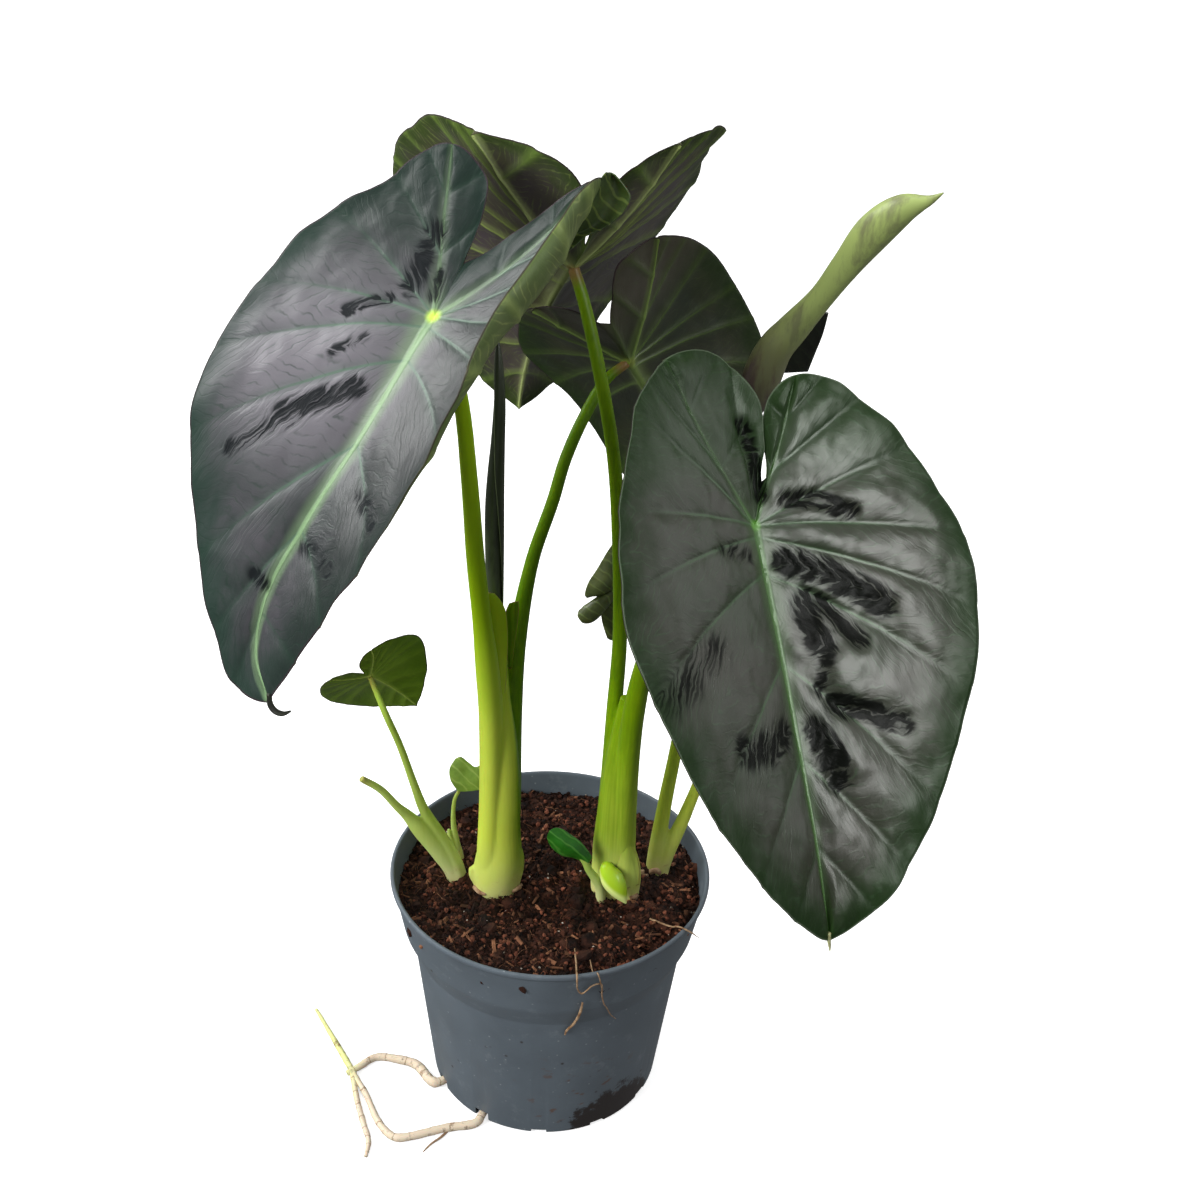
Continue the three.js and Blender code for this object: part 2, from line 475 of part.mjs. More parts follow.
// The soil fills the pot up to its level. Its top is uneven, with bark chips sunk into it, and the
// stems and roots stand in plain holes.
function soil() {
  const random = randomFrom(11);
  const side = [...POT_INSIDE].reverse();
  const wallAt = (z) => {
    const k = side.findIndex((point) => point[1] >= z);
    const [a, b] = [side[k - 1], side[k]];
    return a[0] + (b[0] - a[0]) * (z - a[1]) / (b[1] - a[1]) - GAP - 0.05;
  };
  const edge = wallAt(SOIL.level);
  const top = [];
  for (let k = 0; k < SOIL.rings; k += 1) top.push([edge * (1 - k / SOIL.rings), SOIL.level]);
  const profile = [[0, POT.floor + GAP], [wallAt(POT.floor + GAP) - 0.1, POT.floor + GAP],
    ...side.slice(1).filter(([, z]) => z < SOIL.level - 5).map(([, z]) => [wallAt(z), z]),
    ...top, [0, SOIL.level]];
  const body = mergeVertices(ring(profile).deleteAttribute('normal').deleteAttribute('uv'), 1e-4);
  const position = body.attributes.position;
  for (let k = 0; k < position.count; k += 1) {
    const reach = Math.hypot(position.getX(k), position.getY(k));
    if (position.getZ(k) > SOIL.level - 0.1 && reach < edge - 1) {
      position.setZ(k, SOIL.level + (random() * 2 - 1) * SOIL.relief);
    }
  }
  let solid = toSolid(body);
  for (let k = 0; k < SOIL.chips; k += 1) {
    const chip = new THREE.BoxGeometry(5 + random() * 8, 3 + random() * 4, 2.5 + random() * 2.5);
    chip.rotateX((random() - 0.5) * 0.9).rotateY((random() - 0.5) * 0.7).rotateZ(random() * Math.PI);
    const reach = Math.sqrt(random()) * (edge - 9);
    const turn = random() * 2 * Math.PI;
    chip.translate(reach * Math.cos(turn), reach * Math.sin(turn), SOIL.level + 0.3 + random());
    solid = solid.add(toSolid(chip));
  }
  solid = [leftClump(GAP), centreClump(GAP), rightShoots(GAP), leftShoots(GAP), tinyShoot(GAP),
    sucker(GAP), bud(GAP), roots(GAP)]
    .reduce((whole, hole) => whole.subtract(hole), solid);
  return largest(solid);
}

// The youngest blade, still rolled up: one sheet wound round its own axis, thinner to its tip.
function rolledBlade() {
  const { radii, turns, layer, around, along } = ROLLED;
  const curve = rolledPath();
  const box = new THREE.BoxGeometry(1, 1, 1, around, along, 1);
  const position = box.attributes.position;
  const reference = new THREE.Vector3(1, 0, 0);
  for (let k = 0; k < position.count; k += 1) {
    const u = position.getX(k) + 0.5;
    const v = position.getY(k) + 0.5;
    const inside = position.getZ(k) < 0 ? 1 : 0;
    const at = v * (radii.length - 1);
    const i = Math.min(Math.floor(at), radii.length - 2);
    const reach = radii[i] + (radii[i + 1] - radii[i]) * (at - i);
    const wound = Math.min(layer, reach * 0.38 + 0.2);
    const turn = 2 * Math.PI * turns * u + 2.4;
    const thick = Math.min(BLADE_THICK, wound * 0.5);
    const radius = reach - wound * turns * (1 - u) - inside * thick;
    const along_ = curve.getTangent(v);
    const x = reference.clone().addScaledVector(along_, -reference.dot(along_)).normalize();
    const z = new THREE.Vector3().crossVectors(x, along_);
    const point = curve.getPoint(v)
      .addScaledVector(x, radius * Math.cos(turn))
      .addScaledVector(z, radius * Math.sin(turn));
    position.setXYZ(k, point.x, point.y, point.z);
  }
  const index = box.index.array;
  for (let k = 0; k < index.length; k += 3) [index[k + 1], index[k + 2]] = [index[k + 2], index[k + 1]];
  return toSolid(box);
}

const plant = new THREE.Group();
plant.name = 'potted_aloha_colocasia';
plant.add(
  toMesh('pot', pot(), COLOUR.pot, 0.6),
  toMesh('soil', soil(), COLOUR.soil, 1),
  toMesh('roots', roots(0), COLOUR.root, 0.7),
  toMesh('left_clump_stems', leftClump(0), COLOUR.stem, 0.5),
  toMesh('centre_clump_stems', centreClump(0), COLOUR.stem, 0.5),
  toMesh('right_shoot_stems', rightShoots(0), COLOUR.stem, 0.5),
  toMesh('left_shoot_stems', leftShoots(0), COLOUR.stemPale, 0.5),
  toMesh('tiny_shoot_stem', tinyShoot(0), COLOUR.stemPale, 0.5),
  toMesh('rolled_new_leaf', stem(SPEAR, { sides: 10 }), COLOUR.spear, 0.5),
  toMesh('base_bud', bud(0), COLOUR.bud, 0.5),
  toMesh('front_left_blade', blade(FRONT_LEFT, 52, 6), COLOUR.bladeGrey, 0.4),
  toMesh('front_right_blade', blade(FRONT_RIGHT, 48, 4), COLOUR.bladeDark, 0.35),
  toMesh('top_back_blade', blade(TOP_BACK, 48, 4), COLOUR.bladeBack, 0.5),
  toMesh('middle_back_blade', blade(MIDDLE_BACK, 44, 4), COLOUR.bladeBack, 0.5),
  toMesh('young_rolled_blade', rolledBlade(), COLOUR.bladeYoung, 0.45),
  toMesh('small_folded_blade', blade(FOLDED_SMALL, 28, 3), COLOUR.bladeBack, 0.5),
  toMesh('left_small_blade', blade(LEFT_SMALL, 28, 3), COLOUR.bladeSmall, 0.5),
  toMesh('tiny_blade', blade(TINY, 24, 2), COLOUR.bladeSmall, 0.5),
  toMesh('sucker_leaf', sucker(0), COLOUR.bladeSmall, 0.5),
);

export default plant;
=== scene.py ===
# The looks of the potted colocasia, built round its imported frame. Blender works in metres, and a name
# that ends in _MM holds millimetres. The origin is the middle of the pot's flat underside.
import math
import random
import bpy
import numpy as np
from mathutils import Matrix, Vector, noise


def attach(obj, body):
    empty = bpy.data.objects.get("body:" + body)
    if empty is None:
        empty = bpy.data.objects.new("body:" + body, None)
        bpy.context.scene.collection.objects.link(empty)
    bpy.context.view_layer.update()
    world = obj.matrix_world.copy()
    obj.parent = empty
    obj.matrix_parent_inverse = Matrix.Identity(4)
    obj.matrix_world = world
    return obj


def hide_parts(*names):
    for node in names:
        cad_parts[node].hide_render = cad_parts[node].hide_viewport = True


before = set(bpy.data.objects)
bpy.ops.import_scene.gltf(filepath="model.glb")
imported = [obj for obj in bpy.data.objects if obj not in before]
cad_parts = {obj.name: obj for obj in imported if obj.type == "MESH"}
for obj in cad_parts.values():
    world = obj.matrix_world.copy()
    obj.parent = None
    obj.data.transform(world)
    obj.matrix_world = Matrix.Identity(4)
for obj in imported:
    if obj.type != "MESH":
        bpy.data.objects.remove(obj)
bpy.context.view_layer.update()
MM = 0.001

# The camera stands in front of the pot, a little above the leaves, and looks down on it. It is turned
# slightly about its own line of sight, as the hand-held one was.
CAMERA_PLACE = (0.022, -0.745, 0.768)
CAMERA_DIP = 30.2
CAMERA_LEAN = 2.7
CAMERA_LENS_MM = 48
CAMERA_SENSOR_MM = 36
level = Matrix.Rotation(math.radians(90 - CAMERA_DIP), 3, "X")
aim = level @ Matrix.Rotation(math.radians(CAMERA_LEAN), 3, "Z")
bpy.ops.object.camera_add(location=CAMERA_PLACE, rotation=aim.to_euler())
camera = bpy.context.object
camera.data.lens = CAMERA_LENS_MM
camera.data.sensor_width = CAMERA_SENSOR_MM
camera.data.clip_start = 0.01
bpy.context.scene.camera = camera


# The surface under the pot is white seamless paper, rolled out far past the view. Most light comes from
# softboxes at the left. Those at the right and behind mostly give the leaves their sheen.
def linear(code):
    parts = [int(code[k:k + 2], 16) / 255 for k in (1, 3, 5)]
    return (*[p / 12.92 if p <= 0.04045 else ((p + 0.055) / 1.055) ** 2.4 for p in parts], 1.0)


def plug(material, shader, links):
    for key, value in links.items():
        socket = shader.inputs[key]
        if isinstance(value, bpy.types.NodeSocket):
            material.node_tree.links.new(value, socket)
        else:
            socket.default_value = value


def add(material, kind, links=None, give=0, **settings):
    made = material.node_tree.nodes.new(kind)
    for name, value in settings.items():
        setattr(made, name, value)
    plug(material, made, links or {})
    return made.outputs[give]


def new_material(name, **looks):
    material = bpy.data.materials.new(name)
    material.use_nodes = True
    dress(material, looks)
    return material


def dress(material, looks):
    plug(material, material.node_tree.nodes["Principled BSDF"], looks)


PAPER = new_material("white seamless paper", **{"Base Color": linear("#e8e8e8"), "Roughness": 0.9,
                                              "Emission Color": (1, 1, 1, 1), "Emission Strength": 0.62})
bpy.ops.object.select_all(action="DESELECT")
bpy.ops.mesh.primitive_plane_add(size=30, location=(0, 0, -0.0004))
floor = bpy.context.object
floor.name = "paper_floor"
floor.data.materials.append(PAPER)
floor.visible_diffuse = False
floor.visible_glossy = False

# Name, place, size in metres, watts, whether it lights the surfaces, and whether they mirror it.
SOFTBOXES = (
    ("right_front_softbox", (1.5, -1.3, 1.8), 1.2, 56, False, True),
    ("right_front_fill", (1.5, -1.3, 1.8), 1.2, 20, True, False),
    ("left_back_softbox", (-1.9, 0.8, 1.7), 1.5, 40, True, True),
    ("left_front_softbox", (-1.7, -1.3, 1.2), 1.2, 56, True, False),
    ("overhead_softbox", (0.0, 0.3, 2.6), 1.2, 14, True, True),
    ("right_back_sheen", (1.9, 0.55, 0.75), 1.3, 5, False, True),
)
AIM_POINT = Vector((0, 0, 0.3))
for name, place, size, watts, lights_up, shines in SOFTBOXES:
    turn = (AIM_POINT - Vector(place)).to_track_quat("-Z", "Y")
    bpy.ops.object.light_add(type="AREA", location=place, rotation=turn.to_euler())
    lamp = bpy.context.object
    lamp.name = name
    lamp.data.size = size
    lamp.data.energy = watts
    lamp.visible_diffuse = lights_up
    lamp.visible_glossy = shines
# The room is pale above and dim below, so that the undersides stay dark.
world = bpy.data.worlds.new("studio")
bpy.context.scene.world = world
world.use_nodes = True
sight = add(world, "ShaderNodeTexCoord", give="Generated")
height = add(world, "ShaderNodeSeparateXYZ", {"Vector": sight}, give=2)
room = add(world, "ShaderNodeMapRange", {"Value": height, 1: -0.35, 2: 0.85, 3: 0.16, 4: 0.62})
plug(world, world.node_tree.nodes["Background"], {"Color": (1, 1, 1, 1), "Strength": room})
bpy.context.scene.view_settings.view_transform = "Standard"


# The growers' pot is injection-moulded polypropylene: a thin tapered tub with a rolled rim, a collar
# that it stacks on and drain notches round its foot. It is slate grey, matt, and dusty from the nursery.
POT_SIDES = 144
POT_FLOOR_MM = 1.6
POT_OUTSIDE_MM = ((69, 0), (70.5, 1.2), (81.3, 99), (81.7, 101.5), (82.6, 103.8), (87.2, 115), (88, 117),
                  (88.5, 119.5), (93.2, 145.4), (93.9, 146.3), (95, 147.3), (95, 149.2), (94.3, 150))
POT_INSIDE_MM = ((92.8, 150), (92.2, 148.5), (91.8, 145.5), (87.4, 119.3), (86, 116), (81.2, 104),
                 (79.9, 99.3), (69.4, POT_FLOOR_MM))
NOTCHES = 12
NOTCH_REACH_MM = 69
NOTCH_DEEP_MM = 14
NOTCH_WIDE_MM = 9
NOTCH_HIGH_MM = 3
ROOT_NOTCH_HIGH_MM = 7
ROOT_NOTCHES = (7, 8)


def sheet(name, across, along, place):
    """A grid of quads whose points are moved by place(u, v), with u and v from 0 to 1."""
    bpy.ops.object.select_all(action="DESELECT")
    bpy.ops.mesh.primitive_grid_add(x_subdivisions=across, y_subdivisions=along, size=1)
    piece = bpy.context.object
    piece.name = name
    flat = np.empty(len(piece.data.vertices) * 3, np.float32)
    piece.data.vertices.foreach_get("co", flat)
    u = np.round((flat[0::3] + 0.5).astype(float) * across) / across
    v = np.round((flat[1::3] + 0.5).astype(float) * along) / along
    piece.data.vertices.foreach_set("co", np.asarray(place(u, v), np.float32).ravel())
    piece.data.update()
    return piece


def pick(*pieces):
    """Selects these pieces and nothing else, the first as the active one."""
    bpy.ops.object.select_all(action="DESELECT")
    for piece in pieces:
        piece.select_set(True)
    bpy.context.view_layer.objects.active = pieces[0]


def close_seams(piece):
    """Merges the points that meet, and turns all faces outwards."""
    pick(piece)
    bpy.ops.object.mode_set(mode="EDIT")
    bpy.ops.mesh.select_all(action="SELECT")
    bpy.ops.mesh.remove_doubles(threshold=1e-6)
    bpy.ops.mesh.dissolve_degenerate(threshold=1e-7)
    bpy.ops.mesh.select_all(action="SELECT")
    bpy.ops.mesh.normals_make_consistent(inside=False)
    bpy.ops.object.mode_set(mode="OBJECT")
    bpy.ops.object.shade_smooth()
    return piece


def apply(piece, kind, **settings):
    """Adds a modifier with its settings and applies it."""
    pick(piece)
    modifier = piece.modifiers.new(kind.lower(), kind)
    for name, value in settings.items():
        setattr(modifier, name, value)
    bpy.ops.object.modifier_apply(modifier=modifier.name)


def keep(piece, material, slot, *nodes):
    """Gives a finished piece its material and says what it stands for."""
    if material is not None:
        piece.data.materials.clear()
        piece.data.materials.append(material)
    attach(piece, "root")
    if nodes:
        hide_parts(*nodes)
    return piece


def turned(profile_mm, sides, name):
    """A lathe shape from an outline of radius and height that starts and ends on the axis."""
    outline = np.array(profile_mm, float) * MM

    def place(u, v):
        k = np.round(v * (len(outline) - 1)).astype(int)
        angle = 2 * np.pi * np.round(u * sides) / sides
        radius = outline[k, 0]
        return np.stack([radius * np.cos(angle), radius * np.sin(angle), outline[k, 1]], axis=1)

    return close_seams(sheet(name, sides, len(outline) - 1, place))


pot = turned(((0, 0), *POT_OUTSIDE_MM, *POT_INSIDE_MM, (0, POT_FLOOR_MM)), POT_SIDES, "growers_pot")
for k in range(NOTCHES):
    turn = 2 * math.pi * k / NOTCHES
    high = (ROOT_NOTCH_HIGH_MM if k in ROOT_NOTCHES else NOTCH_HIGH_MM) * MM
    foot = (NOTCH_REACH_MM * MM * math.cos(turn), NOTCH_REACH_MM * MM * math.sin(turn), high / 2 - MM)
    bpy.ops.object.select_all(action="DESELECT")
    bpy.ops.mesh.primitive_cube_add(size=1, rotation=(0, 0, turn), location=foot)
    cutter = bpy.context.object
    cutter.scale = (NOTCH_DEEP_MM * MM, NOTCH_WIDE_MM * MM, high + 2 * MM)
    apply(pot, "BOOLEAN", operation="DIFFERENCE", object=cutter, solver="EXACT")
    bpy.data.objects.remove(cutter)
apply(pot, "BEVEL", width=0.0006, segments=3, limit_method="ANGLE", angle_limit=math.radians(12))
bpy.ops.object.shade_smooth_by_angle(angle=math.radians(35))

POLYPROPYLENE = new_material("moulded polypropylene, slate grey", **{"IOR": 1.49, "Specular IOR Level": 0.4})
spot = add(POLYPROPYLENE, "ShaderNodeTexCoord", give="Object")
# Dust lies in faint clouds 30 mm across, with dark and pale flecks on it.
clouds = add(POLYPROPYLENE, "ShaderNodeTexNoise", {"Vector": spot, "Scale": 33, "Detail": 5,
                                                   "Roughness": 0.62})
flecks = add(POLYPROPYLENE, "ShaderNodeTexVoronoi", {"Vector": spot, "Scale": 95, "Randomness": 1.0})
fleck = add(POLYPROPYLENE, "ShaderNodeMapRange", {"Value": flecks, 1: 0.06, 2: 0.12, 3: 0.85, 4: 0.0})
patch = add(POLYPROPYLENE, "ShaderNodeTexNoise", {"Vector": spot, "Scale": 21, "Detail": 2})
patch = add(POLYPROPYLENE, "ShaderNodeMapRange", {"Value": patch, 1: 0.5, 2: 0.58, 3: 0.0, 4: 1.0})
fleck = add(POLYPROPYLENE, "ShaderNodeMath", {0: fleck, 1: patch}, operation="MULTIPLY")
pale = add(POLYPROPYLENE, "ShaderNodeTexVoronoi", {"Vector": spot, "Scale": 130, "Randomness": 1.0})
pale = add(POLYPROPYLENE, "ShaderNodeMapRange", {"Value": pale, 1: 0.03, 2: 0.1, 3: 0.5, 4: 0.0})
# Pale scuffs a centimetre wide, and brown smears where wet peat ran down the front.
scuffs = add(POLYPROPYLENE, "ShaderNodeTexNoise", {"Vector": spot, "Scale": 62, "Detail": 6,
                                                   "Roughness": 0.75})
scuffs = add(POLYPROPYLENE, "ShaderNodeMapRange", {"Value": scuffs, 1: 0.57, 2: 0.72, 4: 0.28})
smears = add(POLYPROPYLENE, "ShaderNodeMapping", {"Vector": spot, "Scale": (105, 105, 190)})
smears = add(POLYPROPYLENE, "ShaderNodeTexNoise", {"Vector": smears, "Scale": 1.0, "Detail": 3})
smears = add(POLYPROPYLENE, "ShaderNodeMapRange", {"Value": smears, 1: 0.64, 2: 0.7})
near = add(POLYPROPYLENE, "ShaderNodeVectorMath", {0: spot, 1: (0.024, -0.072, 0.034)}, give="Value",
           operation="DISTANCE")
near = add(POLYPROPYLENE, "ShaderNodeMapRange", {"Value": near, 1: 0.046, 2: 0.02, 4: 0.75})
smears = add(POLYPROPYLENE, "ShaderNodeMath", {0: smears, 1: near}, operation="MULTIPLY")
# Wet earth has dried on the foot at the right.
place = add(POLYPROPYLENE, "ShaderNodeVectorMath", {0: spot, 1: (0.042, -0.052, 0.0)}, give="Value",
            operation="DISTANCE")
ragged = add(POLYPROPYLENE, "ShaderNodeTexNoise", {"Vector": spot, "Scale": 120, "Detail": 5,
                                                   "Roughness": 0.7})
earth = add(POLYPROPYLENE, "ShaderNodeMath", {0: ragged, 1: 0.046, 2: place}, operation="MULTIPLY_ADD")
earth = add(POLYPROPYLENE, "ShaderNodeMapRange", {"Value": earth, 1: 0.054, 2: 0.05, 3: 0.0, 4: 0.95})
wall = linear("#4a5259")
for seen, dirt in ((clouds, "#616b73"), (fleck, "#2b2019"), (pale, "#9ba0a2"), (scuffs, "#868d92"),
                   (smears, "#5a4030"), (earth, "#1f1511")):
    wall = add(POLYPROPYLENE, "ShaderNodeMix", {0: seen, 6: wall, 7: linear(dirt)}, 2, data_type="RGBA")
# The moulded surface is finely matt, about 0.6 mm from grain to grain.
grain = add(POLYPROPYLENE, "ShaderNodeTexNoise", {"Vector": spot, "Scale": 1600, "Detail": 2})
dress(POLYPROPYLENE, {
    "Base Color": wall,
    "Roughness": add(POLYPROPYLENE, "ShaderNodeMapRange", {"Value": clouds, 3: 0.42, 4: 0.62}),
    "Normal": add(POLYPROPYLENE, "ShaderNodeBump", {"Height": grain, "Strength": 0.12, "Distance": 0.0002}),
})
keep(pot, POLYPROPYLENE, "pot", "pot")


# The fill is moist peat and coir: a dark crumbly bed with red-brown lumps, bark chips, straw-coloured
# fibres and a few white specks, loosest on top. It is heaped a little round the stems.
SOIL_LEVEL_MM = 137
SOIL_REACH_MM = 90.9
SOIL_GRID = 190
SOIL_SKIRT_MM = 16
SOIL_UNDERSIDE_MM = 120
SOIL_TAPER = 0.93


def soil_height(x, y):
    """Height of the bed in mm at a place in mm."""
    broad = noise.noise(Vector((x / 34, y / 34, 3.1))) * 4.2
    lumps = noise.noise(Vector((x / 11, y / 11, 8.7))) * 4.4
    crumbs = abs(noise.noise(Vector((x / 3.1, y / 3.1, 1.3)))) * 3.0
    # The bed has sunk a little behind the left clump and in front of both.
    hollow = 3.5 * math.exp(-((x + 46) ** 2 + (y - 22) ** 2) / 260)
    hollow += 2.5 * math.exp(-((x - 4) ** 2 + (y + 24) ** 2) / 420)
    return SOIL_LEVEL_MM - 1.6 + broad + lumps + crumbs - hollow


def soil_place(u, v):
    x = u * 2 - 1
    y = v * 2 - 1
    # The square grid is pressed into a disc, so that its edge follows the pot.
    reach_x = x * np.sqrt(1 - y * y / 2) * SOIL_REACH_MM
    reach_y = y * np.sqrt(1 - x * x / 2) * SOIL_REACH_MM
    height = np.array([soil_height(a, b) for a, b in zip(reach_x, reach_y)])
    return np.stack([reach_x, reach_y, height], axis=1) * MM


bed = sheet("soil_bed", SOIL_GRID, SOIL_GRID, soil_place)
bpy.ops.object.mode_set(mode="EDIT")
bpy.ops.mesh.select_all(action="DESELECT")
bpy.ops.mesh.select_non_manifold()
bpy.ops.mesh.extrude_region_move(TRANSFORM_OT_translate={"value": (0, 0, -SOIL_SKIRT_MM * MM)})
bpy.ops.mesh.edge_face_add()
bpy.ops.object.mode_set(mode="OBJECT")
# The skirt is drawn in to a flat underside, which follows the pot's taper.
for vertex in bed.data.vertices:
    x, y, z = vertex.co
    if z < (SOIL_LEVEL_MM - 10) * MM:
        vertex.co = (x * SOIL_TAPER, y * SOIL_TAPER, SOIL_UNDERSIDE_MM * MM)
close_seams(bed)

PEAT = new_material("moist peat and coir", **{"Roughness": 0.95, "Specular IOR Level": 0.2})
spot = add(PEAT, "ShaderNodeTexCoord", give="Object")
lumps = add(PEAT, "ShaderNodeTexNoise", {"Vector": spot, "Scale": 230, "Detail": 6, "Roughness": 0.7})
tone = add(PEAT, "ShaderNodeMapRange", {"Value": lumps, 1: 0.38, 2: 0.66})
tone = add(PEAT, "ShaderNodeMix", {0: tone, 6: linear("#0c0705"), 7: linear("#3f261b")}, 2, data_type="RGBA")
bump = add(PEAT, "ShaderNodeBump", {"Height": lumps, "Strength": 0.9, "Distance": 0.0012})
dress(PEAT, {"Base Color": tone, "Normal": bump})
keep(bed, PEAT, "soil", "soil")


def mark(piece, key, values):
    """Stores a number at each point, which the material reads."""
    layer = piece.data.attributes.new(key, "FLOAT", "POINT")
    layer.data.foreach_set("value", np.asarray(values, np.float32))


def loose_mesh(name, points_mm, faces):
    """A piece made straight from points and faces, as the many small ones are."""
    mesh = bpy.data.meshes.new(name)
    mesh.from_pydata([(a * MM, b * MM, c * MM) for a, b, c in points_mm], [], faces)
    piece = bpy.data.objects.new(name, mesh)
    bpy.context.scene.collection.objects.link(piece)
    return piece


def scattered(name, shape, count, seed, size_mm, lift_mm, reach_mm=90.0, flat=0.6):
    """Many small copies of a shape lying on the bed, as one mesh. Their sizes vary by rule."""
    draw = random.Random(seed)
    points = np.array([vertex.co for vertex in shape.data.vertices])
    faces = [tuple(face.vertices) for face in shape.data.polygons]
    bpy.data.objects.remove(shape)
    all_points = []
    all_faces = []
    shades = []
    for k in range(count):
        shades += [draw.random()] * len(points)
        reach = math.sqrt(draw.random()) * reach_mm
        turn = draw.random() * 2 * math.pi
        x = reach * math.cos(turn)
        y = reach * math.sin(turn)
        size = draw.uniform(*size_mm)
        spin = Matrix.Rotation(draw.random() * 6.3, 3, "Z")
        spin = spin @ Matrix.Rotation(draw.uniform(-flat, flat), 3, "X")
        spin = spin @ Matrix.Rotation(draw.uniform(-flat, flat), 3, "Y")
        stretch = np.array([draw.uniform(0.7, 1.3), draw.uniform(0.7, 1.3), draw.uniform(0.6, 1.0)]) * size
        jitter = np.array([[draw.uniform(0.75, 1.25)] for _ in points])
        place = (points * stretch * jitter) @ np.array(spin).T
        place += (x, y, soil_height(x, y) + draw.uniform(*lift_mm))
        all_faces += [tuple(i + len(all_points) for i in face) for face in faces]
        all_points += place.tolist()
    piece = loose_mesh(name, all_points, all_faces)
    mark(piece, "shade", shades)
    return piece


def lump_shape(detail=1):
    bpy.ops.object.select_all(action="DESELECT")
    bpy.ops.mesh.primitive_ico_sphere_add(subdivisions=detail, radius=0.5)
    return bpy.context.object


def chip_shape(length, width, height):
    bpy.ops.object.select_all(action="DESELECT")
    bpy.ops.mesh.primitive_cube_add(size=1)
    chip = bpy.context.object
    chip.scale = (length, width, height)
    bpy.ops.object.transform_apply(location=False, rotation=False, scale=True)
    apply(chip, "BEVEL", width=height * 0.3, segments=1)
    return chip


def grainy(name, dark, light, scale):
    """Each crumb has a shade of its own between the two tones, and is mottled as well."""
    material = new_material(name, **{"Roughness": 0.9, "Specular IOR Level": 0.25})
    where = add(material, "ShaderNodeTexCoord", give="Object")
    own = add(material, "ShaderNodeAttribute", give="Fac", attribute_name="shade")
    shades = add(material, "ShaderNodeTexNoise", {"Vector": where, "Scale": scale, "Detail": 3})
    spread = add(material, "ShaderNodeMath", {0: shades, 1: 1.5, 2: own}, operation="MULTIPLY_ADD")
    spread = add(material, "ShaderNodeMapRange", {"Value": spread, 1: 0.75, 2: 1.75})
    mixed = add(material, "ShaderNodeMix", {0: spread, 6: linear(dark), 7: linear(light)}, 2,
                data_type="RGBA")
    # Damp patches some 25 mm across are darker.
    damp = add(material, "ShaderNodeTexNoise", {"Vector": where, "Scale": 40, "Detail": 2})
    damp = add(material, "ShaderNodeMapRange", {"Value": damp, 1: 0.5, 2: 0.62, 4: 0.7})
    mixed = add(material, "ShaderNodeMix", {0: damp, 6: mixed, 7: linear("#120a08")}, 2, data_type="RGBA")
    dress(material, {"Base Color": mixed})
    return material


# Name, shape, how many, seed, size in mm, height over the bed in mm, tilt, and tones with their grain.
LOOSE = (
    ("peat_clods", lump_shape(2), 150, 7, (4.0, 10.0), (-2.4, 0.4), 0.9, ("#140b08", "#4a2c20", 260)),
    ("peat_crumbs", lump_shape(), 5200, 1, (0.8, 3.2), (-0.5, 0.9), 0.9, ("#0f0806", "#46291e", 330)),
    ("red_coir_crumbs", lump_shape(), 1300, 2, (0.8, 3.8), (-0.3, 1.2), 0.9, ("#38190f", "#84503c", 300)),
    ("bark_chips", chip_shape(3.6, 1.1, 0.7), 460, 3, (0.5, 2.2), (-0.2, 1.4), 0.9,
     ("#24130e", "#94664a", 170)),
    ("light_specks", lump_shape(), 60, 4, (0.5, 1.7), (0.8, 1.8), 0.5, ("#a08f7c", "#dcd5ca", 120)),
)
for name, shape, count, seed, size_mm, lift_mm, flat, tones in LOOSE:
    piece = scattered(name, shape, count, seed, size_mm, lift_mm, flat=flat)
    keep(piece, grainy(name.replace("_", " "), *tones), "soil")


def along_path(points, at):
    """A smooth curve through the points. What at holds runs over their numbers; more columns ride along."""
    points = np.asarray(points, float)
    padded = np.vstack([2 * points[0] - points[1], points, 2 * points[-1] - points[-2]])
    at = np.clip(at, 0, len(points) - 1)
    i = np.minimum(at.astype(int), len(points) - 2)
    w = (at - i)[:, None]
    p = [padded[i + k] for k in range(4)]
    gap = [np.linalg.norm((p[k + 1] - p[k])[:, :3], axis=1)[:, None] for k in range(3)]
    d0, d1, d2 = [np.maximum(g, 1e-9) ** 0.5 for g in gap]
    t1 = ((p[1] - p[0]) / d0 - (p[2] - p[0]) / (d0 + d1) + (p[2] - p[1]) / d1) * d1
    t2 = ((p[2] - p[1]) / d1 - (p[3] - p[1]) / (d1 + d2) + (p[3] - p[2]) / d2) * d1
    c2 = -3 * p[1] + 3 * p[2] - 2 * t1 - t2
    c3 = 2 * p[1] - 2 * p[2] + t1 + t2
    return p[1] + t1 * w + c2 * w ** 2 + c3 * w ** 3


def across_path(points, at, axis):
    """A path's points and the two directions across it, the first as near to the axis as it can be."""
    here = along_path(points, at)
    ahead = along_path(points, np.minimum(at + 0.02, len(points) - 1))[:, :3]
    behind = along_path(points, np.maximum(at - 0.02, 0))[:, :3]
    tangent = ahead - behind
    tangent /= np.linalg.norm(tangent, axis=1)[:, None]
    side = np.array(axis, float) - tangent * (tangent @ np.array(axis, float))[:, None]
    side /= np.linalg.norm(side, axis=1)[:, None]
    return here, side, np.cross(side, tangent)


